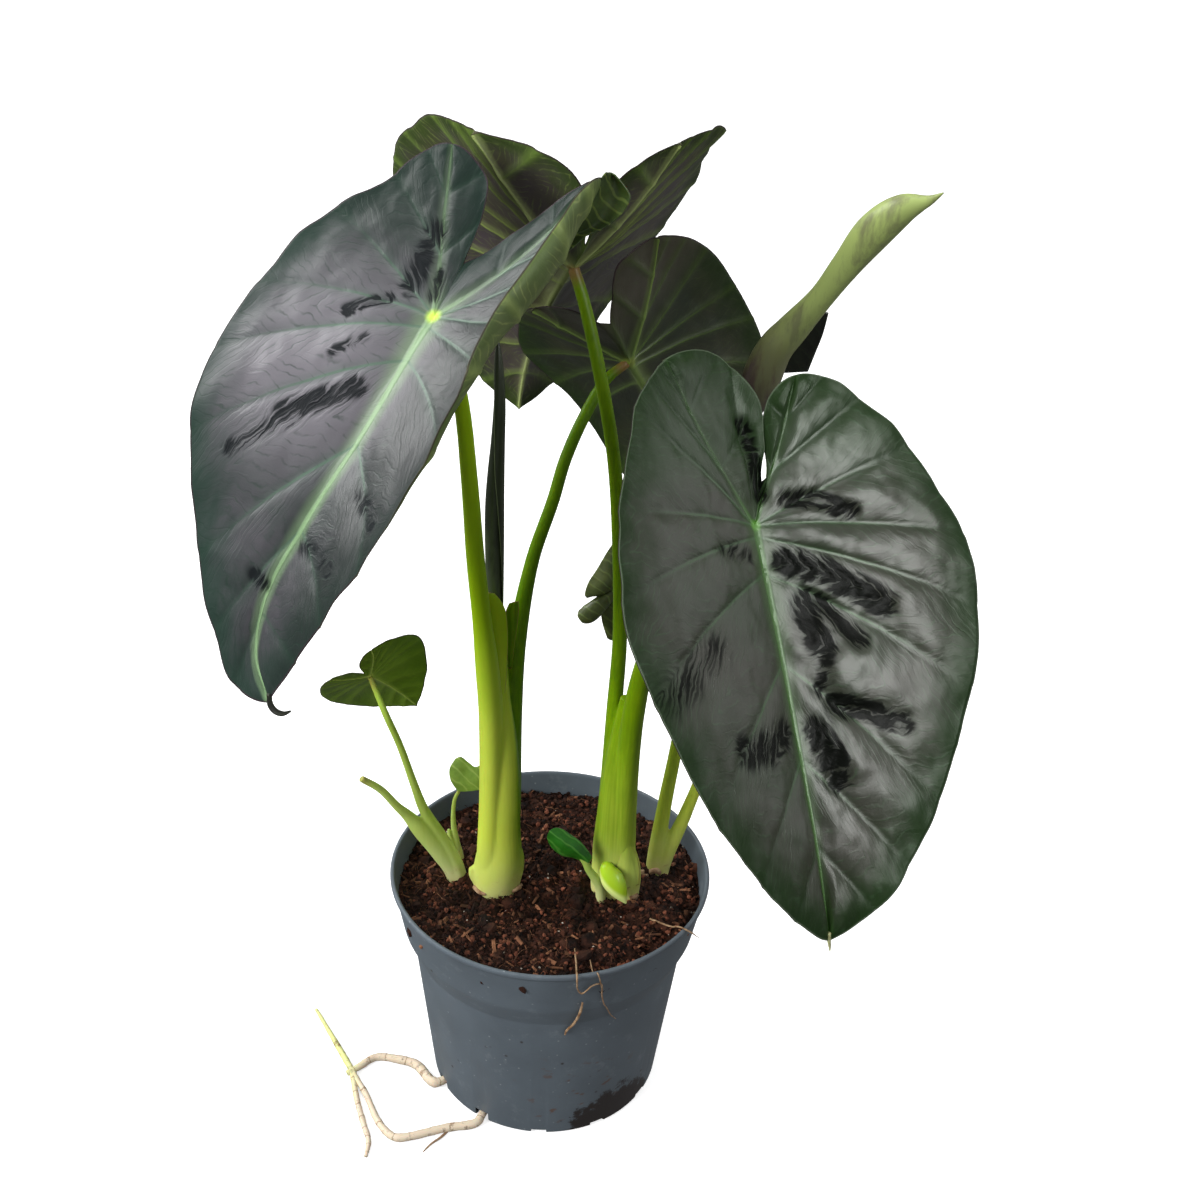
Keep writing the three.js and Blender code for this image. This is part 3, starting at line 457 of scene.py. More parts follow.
def stalk(name, points_mm, sides=40, rows_per_point=8, axis=(1, 0, 0), rough_mm=0.0, seed=0.0):
    """A tapered stem through points of x, y, z, half width and half depth in mm, closed at both ends."""
    points = np.array(points_mm, float)
    if points.shape[1] == 4:
        points = np.hstack([points, points[:, 3:4]])
    rows = (len(points) - 1) * rows_per_point + 2

    def place(u, v):
        row = np.round(v * rows)
        share = np.clip((row - 1) / (rows - 2), 0, 1)
        here, side, other = across_path(points, share * (len(points) - 1), axis)
        angle = 2 * np.pi * (u % 1)
        closed = np.where((row == 0) | (row == rows), 0.0, 1.0)
        swell = np.ones_like(angle)
        if rough_mm:
            knots = [noise.noise(Vector((a, b, c + seed))) for a, b, c in here[:, :3] * 0.35]
            swell += rough_mm * np.array(knots) / here[:, 3]
        wide = here[:, 3] * closed * swell
        deep = here[:, 4] * closed * swell
        ring = side * (np.cos(angle) * wide)[:, None] + other * (np.sin(angle) * deep)[:, None]
        return (here[:, :3] + ring) * MM

    piece = sheet(name, sides, rows, place)
    mark(piece, "along", np.repeat(np.arange(rows + 1), sides + 1) / rows)
    return close_seams(piece)


def joined(name, pieces):
    """Several solids as one piece, such as stems that grow from one foot."""
    pick(*pieces)
    bpy.ops.object.join()
    whole = bpy.context.object
    whole.name = name
    return whole


# Coir and root fibres lie loose on the bed. Each is a thin curved strand, straw to rust in colour.
FULL_TURN = 6.283
STRAND_STEPS = 5
STRAND_CORNERS = 3


def strands(name, count, seed, length_mm, thick_mm, reach_mm=88.0, edge_mm=90.5):
    draw = random.Random(seed)
    points = []
    faces = []
    for k in range(count):
        reach = math.sqrt(draw.random()) * reach_mm
        turn = draw.random() * FULL_TURN
        x, y = reach * math.cos(turn), reach * math.sin(turn)
        heading = draw.random() * FULL_TURN
        length = draw.uniform(*length_mm)
        lift = draw.uniform(0.9, 2.2)
        thick = draw.uniform(*thick_mm)
        first = len(points)
        for i in range(STRAND_STEPS + 1):
            z = soil_height(x, y) + lift + 0.8 * math.sin(math.pi * i / STRAND_STEPS)
            for corner in range(STRAND_CORNERS):
                a = corner * 2.094
                aside = thick * math.cos(a)
                points.append((x - math.sin(heading) * aside, y + math.cos(heading) * aside,
                               z + thick * math.sin(a)))
            heading += draw.uniform(-0.7, 0.7)
            x += math.cos(heading) * length / STRAND_STEPS
            y += math.sin(heading) * length / STRAND_STEPS
            reach = math.hypot(x, y)
            if reach > edge_mm:
                x, y = x * edge_mm / reach, y * edge_mm / reach
        for i in range(STRAND_STEPS):
            for corner in range(STRAND_CORNERS):
                a = first + i * STRAND_CORNERS + corner
                b = first + i * STRAND_CORNERS + (corner + 1) % STRAND_CORNERS
                faces.append((a, b, b + STRAND_CORNERS, a + STRAND_CORNERS))
        faces.append((first + 2, first + 1, first))
        last = first + STRAND_STEPS * STRAND_CORNERS
        faces.append((last, last + 1, last + 2))
    return loose_mesh(name, points, faces)


straw = grainy("straw coloured coir", "#6b4833", "#a88161", 90)
rust = grainy("rust coloured coir", "#2b1710", "#6e4230", 90)
keep(strands("straw_fibres", 260, 5, (4, 14), (0.06, 0.15)), straw, "soil")
keep(strands("rust_fibres", 620, 6, (3, 11), (0.07, 0.2)), rust, "soil")


# Roots leave the drain notches and lie on the floor: round, waxy and jointed, cream with a pink cast on
# the older two and yellow-green on the youngest, with brown scars and earth on them.
ROOTS_MM = (
    ((-26, -45, 12, 2), (-31, -54, 7, 2.3), (-35, -61, 3.6, 2.6), (-38, -67, 2.9, 2.7), (-56, -72, 2.7, 2.6),
     (-84, -81, 2.5, 2.4), (-90, -78, 2.4, 2.3), (-98, -68, 2.2, 2.1), (-108, -48, 2, 1.9),
     (-117, -34, 2, 1.9), (-121, -27, 2, 1.9), (-132, -9, 1.9, 1.8), (-151, 22, 1.3, 1.1)),
    ((-48, -28, 12, 2), (-55, -31.5, 7, 2.4), (-60, -34.5, 3.9, 2.6), (-67, -37, 3.2, 3.1),
     (-80, -23, 3, 2.9), (-93, -19, 2.8, 2.6), (-106, -18, 2.5, 2.4), (-116, -27, 2.4, 2.2),
     (-122, -32, 2.2, 1.8)),
    ((-119, -31, 1.9, 1.8), (-113, -52, 1.9, 1.8), (-106, -71, 1.9, 1.8), (-101, -84, 1.9, 1.7),
     (-101, -95, 1.5, 1.2)),
)
ROOT_SKIN = new_material("bare root skin", **{"Roughness": 0.5, "IOR": 1.42, "Subsurface Weight": 0.15,
                                             "Subsurface Scale": 0.002})
spot = add(ROOT_SKIN, "ShaderNodeTexCoord", give="Object")
west = add(ROOT_SKIN, "ShaderNodeSeparateXYZ", {"Vector": spot})
young = add(ROOT_SKIN, "ShaderNodeMapRange", {"Value": west, 1: -0.112, 2: -0.124})
streaks = add(ROOT_SKIN, "ShaderNodeTexNoise", {"Vector": spot, "Scale": 240, "Detail": 4, "Roughness": 0.7})
scar = add(ROOT_SKIN, "ShaderNodeMapRange", {"Value": streaks, 1: 0.56, 2: 0.7, 4: 0.85})
# Brown scars ring the root every 9 mm or so.
share = add(ROOT_SKIN, "ShaderNodeAttribute", give="Fac", attribute_name="along")
rings = add(ROOT_SKIN, "ShaderNodeMath", {0: share, 1: 17.0, 2: streaks}, operation="MULTIPLY_ADD")
rings = add(ROOT_SKIN, "ShaderNodeMath", {0: rings, 1: 1.0}, operation="PINGPONG")
rings = add(ROOT_SKIN, "ShaderNodeMapRange", {"Value": rings, 1: 0.1, 2: 0.03, 4: 0.75})
skin = linear("#d3c3ab")
for seen, colour in ((young, "#cfd28a"), (scar, "#5c4433"), (rings, "#7a5a3c")):
    skin = add(ROOT_SKIN, "ShaderNodeMix", {0: seen, 6: skin, 7: linear(colour)}, 2, data_type="RGBA")
bump = add(ROOT_SKIN, "ShaderNodeBump", {"Height": streaks, "Strength": 0.5, "Distance": 0.0006})
dress(ROOT_SKIN, {"Base Color": skin, "Normal": bump})
roots = joined("floor_roots", [stalk(f"root_{k}", line, 16, 8, (0, 0, 1), 0.35, k * 5.0)
                               for k, line in enumerate(ROOTS_MM)])
keep(roots, ROOT_SKIN, "root", "roots")


# Fine tan roots have crept over the rim and hang down the front of the pot, and one lies on the floor.
# Scraps of dry, papery sheath lie at the feet of the clumps. All of them are matt and brittle.
FINE_ROOTS_MM = (
    ((17, -60, 139.8, 0.5), (18.4, -74, 140.2, 0.5), (18.9, -85, 142.5, 0.5), (19.1, -91.6, 150.9, 0.5),
     (19.2, -94.6, 150.9, 0.5), (19.4, -96, 148.5, 0.5), (20, -92.2, 139.3, 0.45), (22.2, -91.4, 136.1, 0.45),
     (24.9, -91, 138.2, 0.45), (27.6, -90.4, 141.1, 0.4), (32.6, -87.8, 140.5, 0.4),
     (33.4, -85.6, 130.2, 0.4), (34.9, -83.4, 121.3, 0.35), (36.6, -80.8, 115.9, 0.35),
     (39.4, -74.4, 104.2, 0.3), (42.5, -70.4, 97.5, 0.2)),
    ((25.9, -68.2, 139.5, 0.4), (28, -80, 141, 0.4), (30, -88.8, 149.6, 0.4), (31, -91.2, 149.8, 0.4),
     (32, -90.4, 145, 0.35), (33.7, -86.4, 133.6, 0.25)),
    ((22.9, -88.9, 126.8, 0.5), (21.7, -87, 117.3, 0.8), (18.2, -82.4, 103.5, 0.8), (14.6, -81.2, 97.3, 0.7),
     (13.7, -81, 93.7, 0.4)),
    ((60, -30, 138.2, 0.5), (71.4, -39.4, 141.5, 0.5), (76.4, -50.6, 151.2, 0.5), (82.9, -51, 147.9, 0.45),
     (87.7, -50, 143.2, 0.2)),
    ((-53.1, -70.4, 0.9, 0.8), (-58.3, -77.6, 0.9, 0.8), (-63.7, -83.2, 0.9, 0.7), (-67.8, -89.4, 0.9, 0.4)),
)
PAPER_MM = (
    ((55.3, 12, 139.5, 1.2), (55.7, 11, 137, 1.2), (59, 9.6, 137.6, 0.8)),
    ((60, 11, 139, 1.6), (64, 10.4, 141, 1.8), (66, 11.4, 138, 1.2)),
    ((46.2, -12, 141, 1.4), (50, -12.6, 139.6, 1.5), (53, -12, 140.6, 0.9)),
    ((48, -13, 137.8, 1.2), (52.4, -12.4, 138.4, 0.9)),
    ((-44.6, -9.6, 139, 1.6), (-41, -13.6, 138.4, 1.6), (-37, -15.6, 138.6, 1)),
    ((-22, -12.4, 139, 1.2), (-18.6, -10, 139.6, 1.4), (-17, -6, 139, 0.9)),
)
DRY_SKIN = new_material("dry root and sheath skin", **{"Roughness": 0.7, "IOR": 1.4})
spot = add(DRY_SKIN, "ShaderNodeTexCoord", give="Object")
dry = add(DRY_SKIN, "ShaderNodeTexNoise", {"Vector": spot, "Scale": 300, "Detail": 4})
dry = add(DRY_SKIN, "ShaderNodeMapRange", {"Value": dry, 1: 0.35, 2: 0.65})
skin = add(DRY_SKIN, "ShaderNodeMix", {0: dry, 6: linear("#7a5b40"), 7: linear("#b09373")}, 2,
           data_type="RGBA")
dress(DRY_SKIN, {"Base Color": skin})
fine_roots = [stalk(f"fine_root_{k}", line, 8, 6, (0, 0, 1), 0.1, k * 3.0)
              for k, line in enumerate(FINE_ROOTS_MM)]
paper = [stalk(f"paper_{k}", line, 10, 6, (0, 0, 1), 0.5, k * 7.0) for k, line in enumerate(PAPER_MM)]
keep(joined("dry_roots_and_sheaths", fine_roots + paper), DRY_SKIN, "root", "roots")


# Petioles are fleshy, smooth and waxy: pale and swollen at the foot, clear green above, and brown-red
# where the blade hangs. Those of a clump grow from one foot and clasp each other with thin sheaths.
# Each line has how light its stem is, from 0 to 1; a foot or a sheath has none of its own.
PETIOLES_MM = {
    "left_clump_petioles": (
        (1.0, ((-36, -5, 118, 8, 8), (-36, -5, 137, 8.5, 9), (-35.5, -7, 165, 8, 9.6),
               (-35, -8, 203, 7.2, 9.4), (-35.5, -12, 266, 6.8, 8.2), (-37.5, -16, 300, 6.4, 7.2),
               (-40, -19, 330, 5.2, 5.6), (-43, -24, 369, 4.9, 4.9), (-45, -36, 420, 4.3, 4.3),
               (-48, -48, 468, 3.8, 3.8), (-54, -57, 501, 3.5, 3.5), (-58.6, -60, 511.6, 3.6, 3.6))),
        (0.1, ((-26, -3, 118, 7, 7), (-26, -3, 137, 7.5, 8.5), (-25.5, -1, 165, 6.6, 8.6),
               (-24, 0, 197, 5.6, 8.2), (-24.5, 5, 255, 5.6, 7), (-23, 12, 299, 5.3, 5.8),
               (-16, 24, 344, 3.9, 4), (-6, 34, 376, 3.6, 3.6), (-0.5, 43, 396, 3.5, 3.5),
               (8.5, 53, 417, 3.4, 3.4), (20, 63, 436, 3, 3), (30.8, 67.6, 444.2, 2.6, 2.6))),
        (None, ((-30.5, -4, 240, 6, 6), (-31.5, -3.5, 268, 6.4, 6.4), (-33, -1.5, 296, 5, 5),
                (-33.6, -1, 310, 2.5, 2.5))),
        (None, ((-31.5, -5, 118, 11, 9), (-31.8, -5, 132, 12.4, 10.6), (-32, -5, 141, 13.6, 12),
                (-31.2, -4.9, 150, 14.2, 12.6), (-30.4, -4.8, 158, 13.9, 12.6), (-29.9, -4.8, 167, 12.7, 12),
                (-30.2, -4.9, 180, 12.1, 11.2), (-30.4, -5, 203, 11.8, 10.6), (-30.2, -5.2, 224, 10.6, 9.6),
                (-30, -5.4, 246, 8.4, 8), (-30, -5.6, 266, 5.6, 6), (-30, -5.8, 282, 3, 3.4))),
        (None, ((-21, -5, 138, 3, 4), (-20.4, -5, 150, 4.6, 5.6), (-20, -5, 160, 4.4, 5.2),
                (-20.6, -5, 167, 2.8, 4), (-22, -5, 174, 1, 2))),
        (None, ((-43, -7, 140, 2.6, 3), (-45.4, -7.4, 147, 3, 3), (-47, -7.6, 152, 1.4, 1.6))),
    ),
    "centre_clump_petioles": (
        (0.3, ((34, 0, 118, 7.4, 8), (34, 0, 137, 7.8, 8.4), (32.5, 2, 160, 8, 9.2), (32.8, 4, 197, 6.2, 8.6),
               (33, 8, 256, 4.6, 6.6), (34, 13, 302, 4.2, 5), (31.5, 17, 351, 4, 4.2),
               (26, 21, 407, 3.7, 3.7), (17.3, 24, 451, 3.6, 3.6), (6.4, 33.5, 490.5, 3.3, 3.3),
               (0.5, 39.4, 505.4, 3.1, 3.1))),
        (0.45, ((41, -1, 118, 7.4, 8), (41, -1, 137, 7.8, 8.4), (42, -3, 160, 7.8, 9),
                (42, -6, 206, 6.8, 8.4), (43.5, -12, 270, 6.2, 7.2), (51, -20, 323, 4.8, 5),
                (67, -32, 373, 4.1, 4.1), (84, -48, 404, 3.7, 3.7), (94.2, -58.8, 413.4, 3.4, 3.4))),
        (None, ((37, -0.8, 118, 11.4, 9.6), (37, -0.8, 133, 12.4, 10.4), (37, -0.8, 146, 12.8, 11.2),
                (37.2, -1, 162, 12.4, 11.2), (37.6, -1.5, 190, 11.3, 10.8), (38, -2, 215, 10.2, 9.8),
                (38.5, -2, 238, 8.2, 8.2), (38.8, -2, 258, 5.4, 6), (38.8, -2, 274, 3, 3.4))),
        (None, ((45.6, -6, 124, 6.4, 7), (46.2, -6.4, 140, 7.4, 7.6), (46.6, -6.8, 150, 7.4, 7.4),
                (46.2, -7, 160, 6.6, 6.6), (45, -7.6, 170, 4.6, 5.2), (43.6, -8.4, 179, 1.6, 2))),
    ),
    "right_shoot_petioles": (
        (0.6, ((63, 18, 118, 5, 5.4), (63, 18, 139, 5.4, 5.8), (66, 22, 178, 4.4, 4.8),
               (70, 26, 212, 3.9, 4.1), (76, 32, 265, 3.6, 3.6), (84, 38, 329, 3.3, 3.3),
               (93, 42, 389, 3, 3), (100, 44, 425.6, 2.8, 2.8))),
        (0.8, ((67, 18, 118, 4.6, 5.4), (67.4, 18, 139, 5, 5.6), (79, 22, 175, 3.9, 4.2),
               (88, 28, 208, 3, 3.2), (90, 35, 251, 2.8, 2.8), (83, 42, 290, 2.6, 2.6),
               (66, 50, 320, 2.4, 2.4), (48.4, 53.8, 329, 2.2, 2.2))),
    ),
    "left_shoot_petioles": (
        (0.6, ((-56, 4, 118, 5, 5.4), (-56, 4, 137, 5.2, 5.6), (-63, 2, 160, 4.2, 4.8),
               (-75, -2, 189, 3, 3.2), (-80, -4, 208, 2.4, 2.5), (-87, -8, 238, 2.1, 2.1),
               (-94, -11, 261, 2, 2), (-103.7, -0.3, 278, 1.6, 1.6))),
        (0.8, ((-58, 4, 118, 4.8, 5.2), (-58, 4, 137, 5.4, 5.6), (-66, 1, 156, 6, 5.8),
               (-77, -4, 176, 5.4, 4.6), (-84, -7, 188, 3.4, 3.2), (-89, -10, 196, 2.5, 2.5),
               (-98, -14, 211, 2.2, 2.2), (-108, -18, 221, 2, 2))),
    ),
    "tiny_shoot_petiole": (
        (0.7, ((-57, 20, 118, 3, 3), (-56.5, 20, 134, 3.1, 3.1), (-58.5, 19, 150, 2.2, 2.2),
               (-60, 18.6, 166, 1.5, 1.5), (-59.2, 19.4, 180, 1.2, 1.2), (-55.9, 17.4, 189.8, 1.1, 1.1))),
        (None, ((-58.5, 17.5, 137, 2.2, 2.4), (-61.5, 17, 150, 2.2, 2), (-62.6, 17, 160, 0.8, 0.8))),
    ),
}
# Name, its finish and slot, the node it stands for, and the grain in mm that its skin is drawn with.
PETIOLE_NODES = (
    ("left_clump_petioles", "petiole", "left_clump_stems", 0.8),
    ("centre_clump_petioles", "petiole", "centre_clump_stems", 0.8),
    ("right_shoot_petioles", "petiole", "right_shoot_stems", 0.7),
    ("left_shoot_petioles", "petiole_pale", "left_shoot_stems", 0.6),
    ("tiny_shoot_petiole", "petiole_pale", "tiny_shoot_stem", 0.35),
)
# Free edges of the thin sheaths, which stand off the stems: rows of points from the bottom up.
SHEATHS_MM = {
    "left_clump_petioles": (
        (((-35, -12.5, 256), (-32, -12, 256), (-30, -9.4, 256)),
         ((-36, -13, 281), (-32, -12.4, 280), (-28, -8.8, 279.5)),
         ((-37.2, -13.8, 303), (-31.6, -12.2, 303), (-27.1, -8.4, 302.3)),
         ((-37.8, -14.4, 320), (-32, -12, 319), (-27.3, -8, 318.2)),
         ((-38, -15, 332), (-33, -12.2, 331), (-28.5, -8.2, 330.1)),
         ((-38.4, -15.6, 339), (-34.6, -12.6, 338.4), (-31.2, -9.2, 336.8)),
         ((-38.6, -16, 344.5), (-36.6, -13.8, 343.6), (-34.4, -11, 341.9))),
        (((-27, 3, 286), (-26.2, 2.6, 286), (-25.4, 3.4, 286)),
         ((-28, 3, 302), (-26, 2, 302), (-24, 3.4, 302)),
         ((-28.4, 3, 314), (-25.4, 1.6, 314), (-22.6, 3.4, 315)),
         ((-28.7, 3, 323), (-25.2, 1.4, 324), (-21.9, 3.2, 324)),
         ((-27, 3, 328), (-24.6, 1.8, 329.6), (-22.1, 3.2, 329.3))),
    ),
    "centre_clump_petioles": (
        (((38, -12.6, 146), (45, -14.4, 147), (53, -11.4, 148)),
         ((38.4, -12.6, 157), (45.4, -13.8, 158), (52.6, -10.8, 159)),
         ((39.8, -12.5, 165), (45.4, -13.2, 166), (51, -10.2, 166.5)),
         ((41.6, -12.2, 172.5), (45, -12.4, 173), (48.4, -10.2, 173)),
         ((43.6, -11.6, 179), (44.2, -11.6, 179.6), (45, -11.2, 179))),
    ),
}


RIM_BAND_MM = 0.8


def skin_over(name, net_mm, across, along, thick_mm):
    """A thin sheet drawn smoothly over a net of points, with its rim marked."""
    net = np.array(net_mm, float)
    wide = np.linalg.norm(net[len(net) // 2, 0] - net[len(net) // 2, -1])
    tall = np.linalg.norm(net[0, 1] - net[-1, 1])

    def place(u, v):
        at = v * (net.shape[0] - 1)
        columns = np.stack([along_path(net[:, k], at) for k in range(net.shape[1])], axis=1)
        where = u * (net.shape[1] - 1)
        i = np.minimum(where.astype(int), net.shape[1] - 2)
        w = (where - i)[:, None]
        padded = np.concatenate([2 * columns[:, :1] - columns[:, 1:2], columns,
                                 2 * columns[:, -1:] - columns[:, -2:-1]], axis=1)
        row = np.arange(len(u))
        a, b, c, d = [padded[row, i + k] for k in range(4)]
        inward = np.minimum(np.minimum(u, 1 - u) * wide, np.minimum(v, 1 - v) * tall)
        facts["rim"] = 1 - np.minimum(inward / RIM_BAND_MM, 1)
        return 0.5 * (2 * b + (c - a) * w + (2 * a - 5 * b + 4 * c - d) * w ** 2
                      + (3 * b - a - 3 * c + d) * w ** 3) * MM

    facts = {}
    piece = sheet(name, across, along, place)
    mark(piece, "rim", facts["rim"])
    apply(piece, "SOLIDIFY", thickness=thick_mm * MM, offset=0.0, use_even_offset=False)
    return close_seams(piece)


def grown_together(name, lines, grain_mm, sheaths=()):
    """Stems drawn as one skin, soft where they join. Each point keeps its stem's tone and its place on it."""
    whole = joined(name, [stalk(f"{name}_{k}", line) for k, (_, line) in enumerate(lines)])
    whole.data.attributes.remove(whole.data.attributes["along"])
    apply(whole, "REMESH", mode="VOXEL", voxel_size=grain_mm * MM)
    apply(whole, "SMOOTH", factor=0.5, iterations=9)
    if sheaths:
        whole = joined(name, [whole] + [skin_over(f"{name}_sheath_{k}", net, 20, 36, 0.7)
                                        for k, net in enumerate(sheaths)])
    flat = np.empty(len(whole.data.vertices) * 3, np.float32)
    whole.data.vertices.foreach_get("co", flat)
    points = flat.reshape(-1, 3) / MM
    near = []
    share = []
    tones = []
    for tone, line in lines:
        if tone is None:
            continue
        at = np.linspace(0, len(line) - 1, 160)
        path = along_path(line, at)
        away = np.linalg.norm(points[:, None, :] - path[None, :, :3], axis=2) / path[None, :, 3]
        near.append(np.maximum(away.min(axis=1), 0.05))
        share.append(at[away.argmin(axis=1)] / (len(line) - 1))
        tones.append(tone)
    weight = np.array(near) ** -8.0
    tone = (weight * np.array(tones)[:, None]).sum(axis=0) / weight.sum(axis=0)
    nearest = np.array(near).argmin(axis=0)
    mark(whole, "tone", tone)
    mark(whole, "along", np.array(share)[nearest, np.arange(len(points))])
    pick(whole)
    bpy.ops.object.shade_smooth()
    return whole


def petiole_skin(name, high, low, foot, brown):
    """Waxy skin for dark stems and light ones: clear above, yellower low down, pale at the foot."""
    skin = new_material(name, **{"Roughness": 0.42, "IOR": 1.4, "Subsurface Weight": 0.1,
                                 "Subsurface Scale": 0.003, "Specular IOR Level": 0.18})
    where = add(skin, "ShaderNodeTexCoord", give="Object")
    height = add(skin, "ShaderNodeSeparateXYZ", {"Vector": where}, give=2)
    own = add(skin, "ShaderNodeAttribute", give="Fac", attribute_name="tone")
    # Streaks run up the stem, about 1 mm apart, and clouds 20 mm long lie under them.
    squeezed = add(skin, "ShaderNodeMapping", {"Vector": where, "Scale": (800, 800, 14)})
    streaks = add(skin, "ShaderNodeTexNoise", {"Vector": squeezed, "Scale": 1.0, "Detail": 3})
    clouds = add(skin, "ShaderNodeTexNoise", {"Vector": where, "Scale": 48, "Detail": 3})
    varied = add(skin, "ShaderNodeMath", {0: streaks, 1: 0.5, 2: own}, operation="MULTIPLY_ADD")
    varied = add(skin, "ShaderNodeMath", {0: clouds, 1: 0.4, 2: varied}, operation="MULTIPLY_ADD")
    varied = add(skin, "ShaderNodeMapRange", {"Value": varied, 1: 0.5, 2: 1.4})
    upper = add(skin, "ShaderNodeMix", {0: varied, 6: linear(high[0]), 7: linear(high[1])}, 2,
                data_type="RGBA")
    lower = add(skin, "ShaderNodeMix", {0: varied, 6: linear(low[0]), 7: linear(low[1])}, 2, data_type="RGBA")
    ragged = add(skin, "ShaderNodeMath", {0: clouds, 1: 0.03, 2: height}, operation="MULTIPLY_ADD")
    # Dark stems turn yellower only near the foot.
    sunk = add(skin, "ShaderNodeMath", {0: own, 1: -0.12, 2: ragged}, operation="MULTIPLY_ADD")
    sunk = add(skin, "ShaderNodeMapRange", {"Value": sunk, 1: 0.24, 2: 0.115},
               interpolation_type="SMOOTHSTEP")
    tone = add(skin, "ShaderNodeMix", {0: sunk, 6: upper, 7: lower}, 2, data_type="RGBA")
    pale = add(skin, "ShaderNodeMapRange", {"Value": ragged, 1: 0.15, 2: 0.2, 3: 0.9, 4: 0.0},
               interpolation_type="SMOOTHSTEP")
    # At the soil it is cream, with tan scars where old sheaths came off.
    cream = add(skin, "ShaderNodeMapRange", {"Value": ragged, 1: 0.148, 2: 0.166, 3: 0.7, 4: 0.0})
    scars = add(skin, "ShaderNodeTexNoise", {"Vector": where, "Scale": 260, "Detail": 5, "Roughness": 0.7})
    scars = add(skin, "ShaderNodeMapRange", {"Value": scars, 1: 0.58, 2: 0.68})
    scars = add(skin, "ShaderNodeMath", {0: scars, 1: cream}, operation="MULTIPLY")
    share = add(skin, "ShaderNodeAttribute", give="Fac", attribute_name="along")
    rusty = add(skin, "ShaderNodeMapRange", {"Value": share, 1: 0.92, 2: 0.985, 4: brown},
                interpolation_type="SMOOTHSTEP")
    rim = add(skin, "ShaderNodeAttribute", give="Fac", attribute_name="rim")
    rim = add(skin, "ShaderNodeMapRange", {"Value": rim, 1: 0.3, 2: 0.9, 4: 0.7})
    for seen, colour in ((pale, foot), (cream, "#cfc98f"), (scars, "#8a6238"), (rusty, "#86633f"),
                         (rim, "#8f7a48")):
        tone = add(skin, "ShaderNodeMix", {0: seen, 6: tone, 7: linear(colour)}, 2, data_type="RGBA")
    bump = add(skin, "ShaderNodeBump", {"Height": streaks, "Strength": 0.15, "Distance": 0.0003})
    dress(skin, {"Base Color": tone, "Normal": bump})
    return skin


PETIOLE_SKINS = {
    "petiole": petiole_skin("waxy petiole skin", ("#507404", "#8cb008"), ("#557806", "#bccc48"), "#c2cc6c",
                            0.85),
    "petiole_pale": petiole_skin("young petiole skin", ("#86a428", "#a2be4c"), ("#90ab38", "#b4c866"),
                                 "#c3d08a", 0.5),
}
for name, slot, node, grain_mm in PETIOLE_NODES:
    stems = grown_together(name, PETIOLES_MM[name], grain_mm, SHEATHS_MM.get(name, ()))
    keep(stems, PETIOLE_SKINS[slot], slot, node)


# The blades are thin and leathery, peltate and heart-shaped. Strong veins leave the midrib and the veins
# of the two lobes for the margin, sunk in the upper face and raised on the underside, and the blade
# swells up between them. A blade's half is laid out from vein to vein, so that each vein is an edge.
BLADE_THICK_MM = 0.75
RIM_THICK_MM = 0.4
GROWN = ((-0.13, 0), (-0.22, 0.016), (-0.3, 0.04), (-0.365, 0.09), (-0.392, 0.157), (-0.377, 0.235),
         (-0.328, 0.314), (-0.245, 0.392), (-0.123, 0.46), (0, 0.51), (0.123, 0.539), (0.245, 0.539),
         (0.368, 0.51), (0.49, 0.456), (0.613, 0.387), (0.711, 0.324), (0.784, 0.245), (0.873, 0.157),
         (0.94, 0.078), (0.975, 0.025), (1, 0))
# Veins from the tip to the petiole: where each leaves the midrib, and where it meets the margin, counted
# from the notch. The lobe's own veins follow.
MIDRIB_VEINS = ((1, 1), (0.78, 0.935), (0.57, 0.87), (0.34, 0.785), (0.12, 0.645), (0.03, 0.545), (0, 0.455),
                (0, 0.33))
LOBE_VEINS = (0.36, 0.7, 1.0, 0.7, 0.36, 0.0)
LOBE_MARGIN = (0.5, 0.8, 1.0, 0.66, 0.3, 0.0)

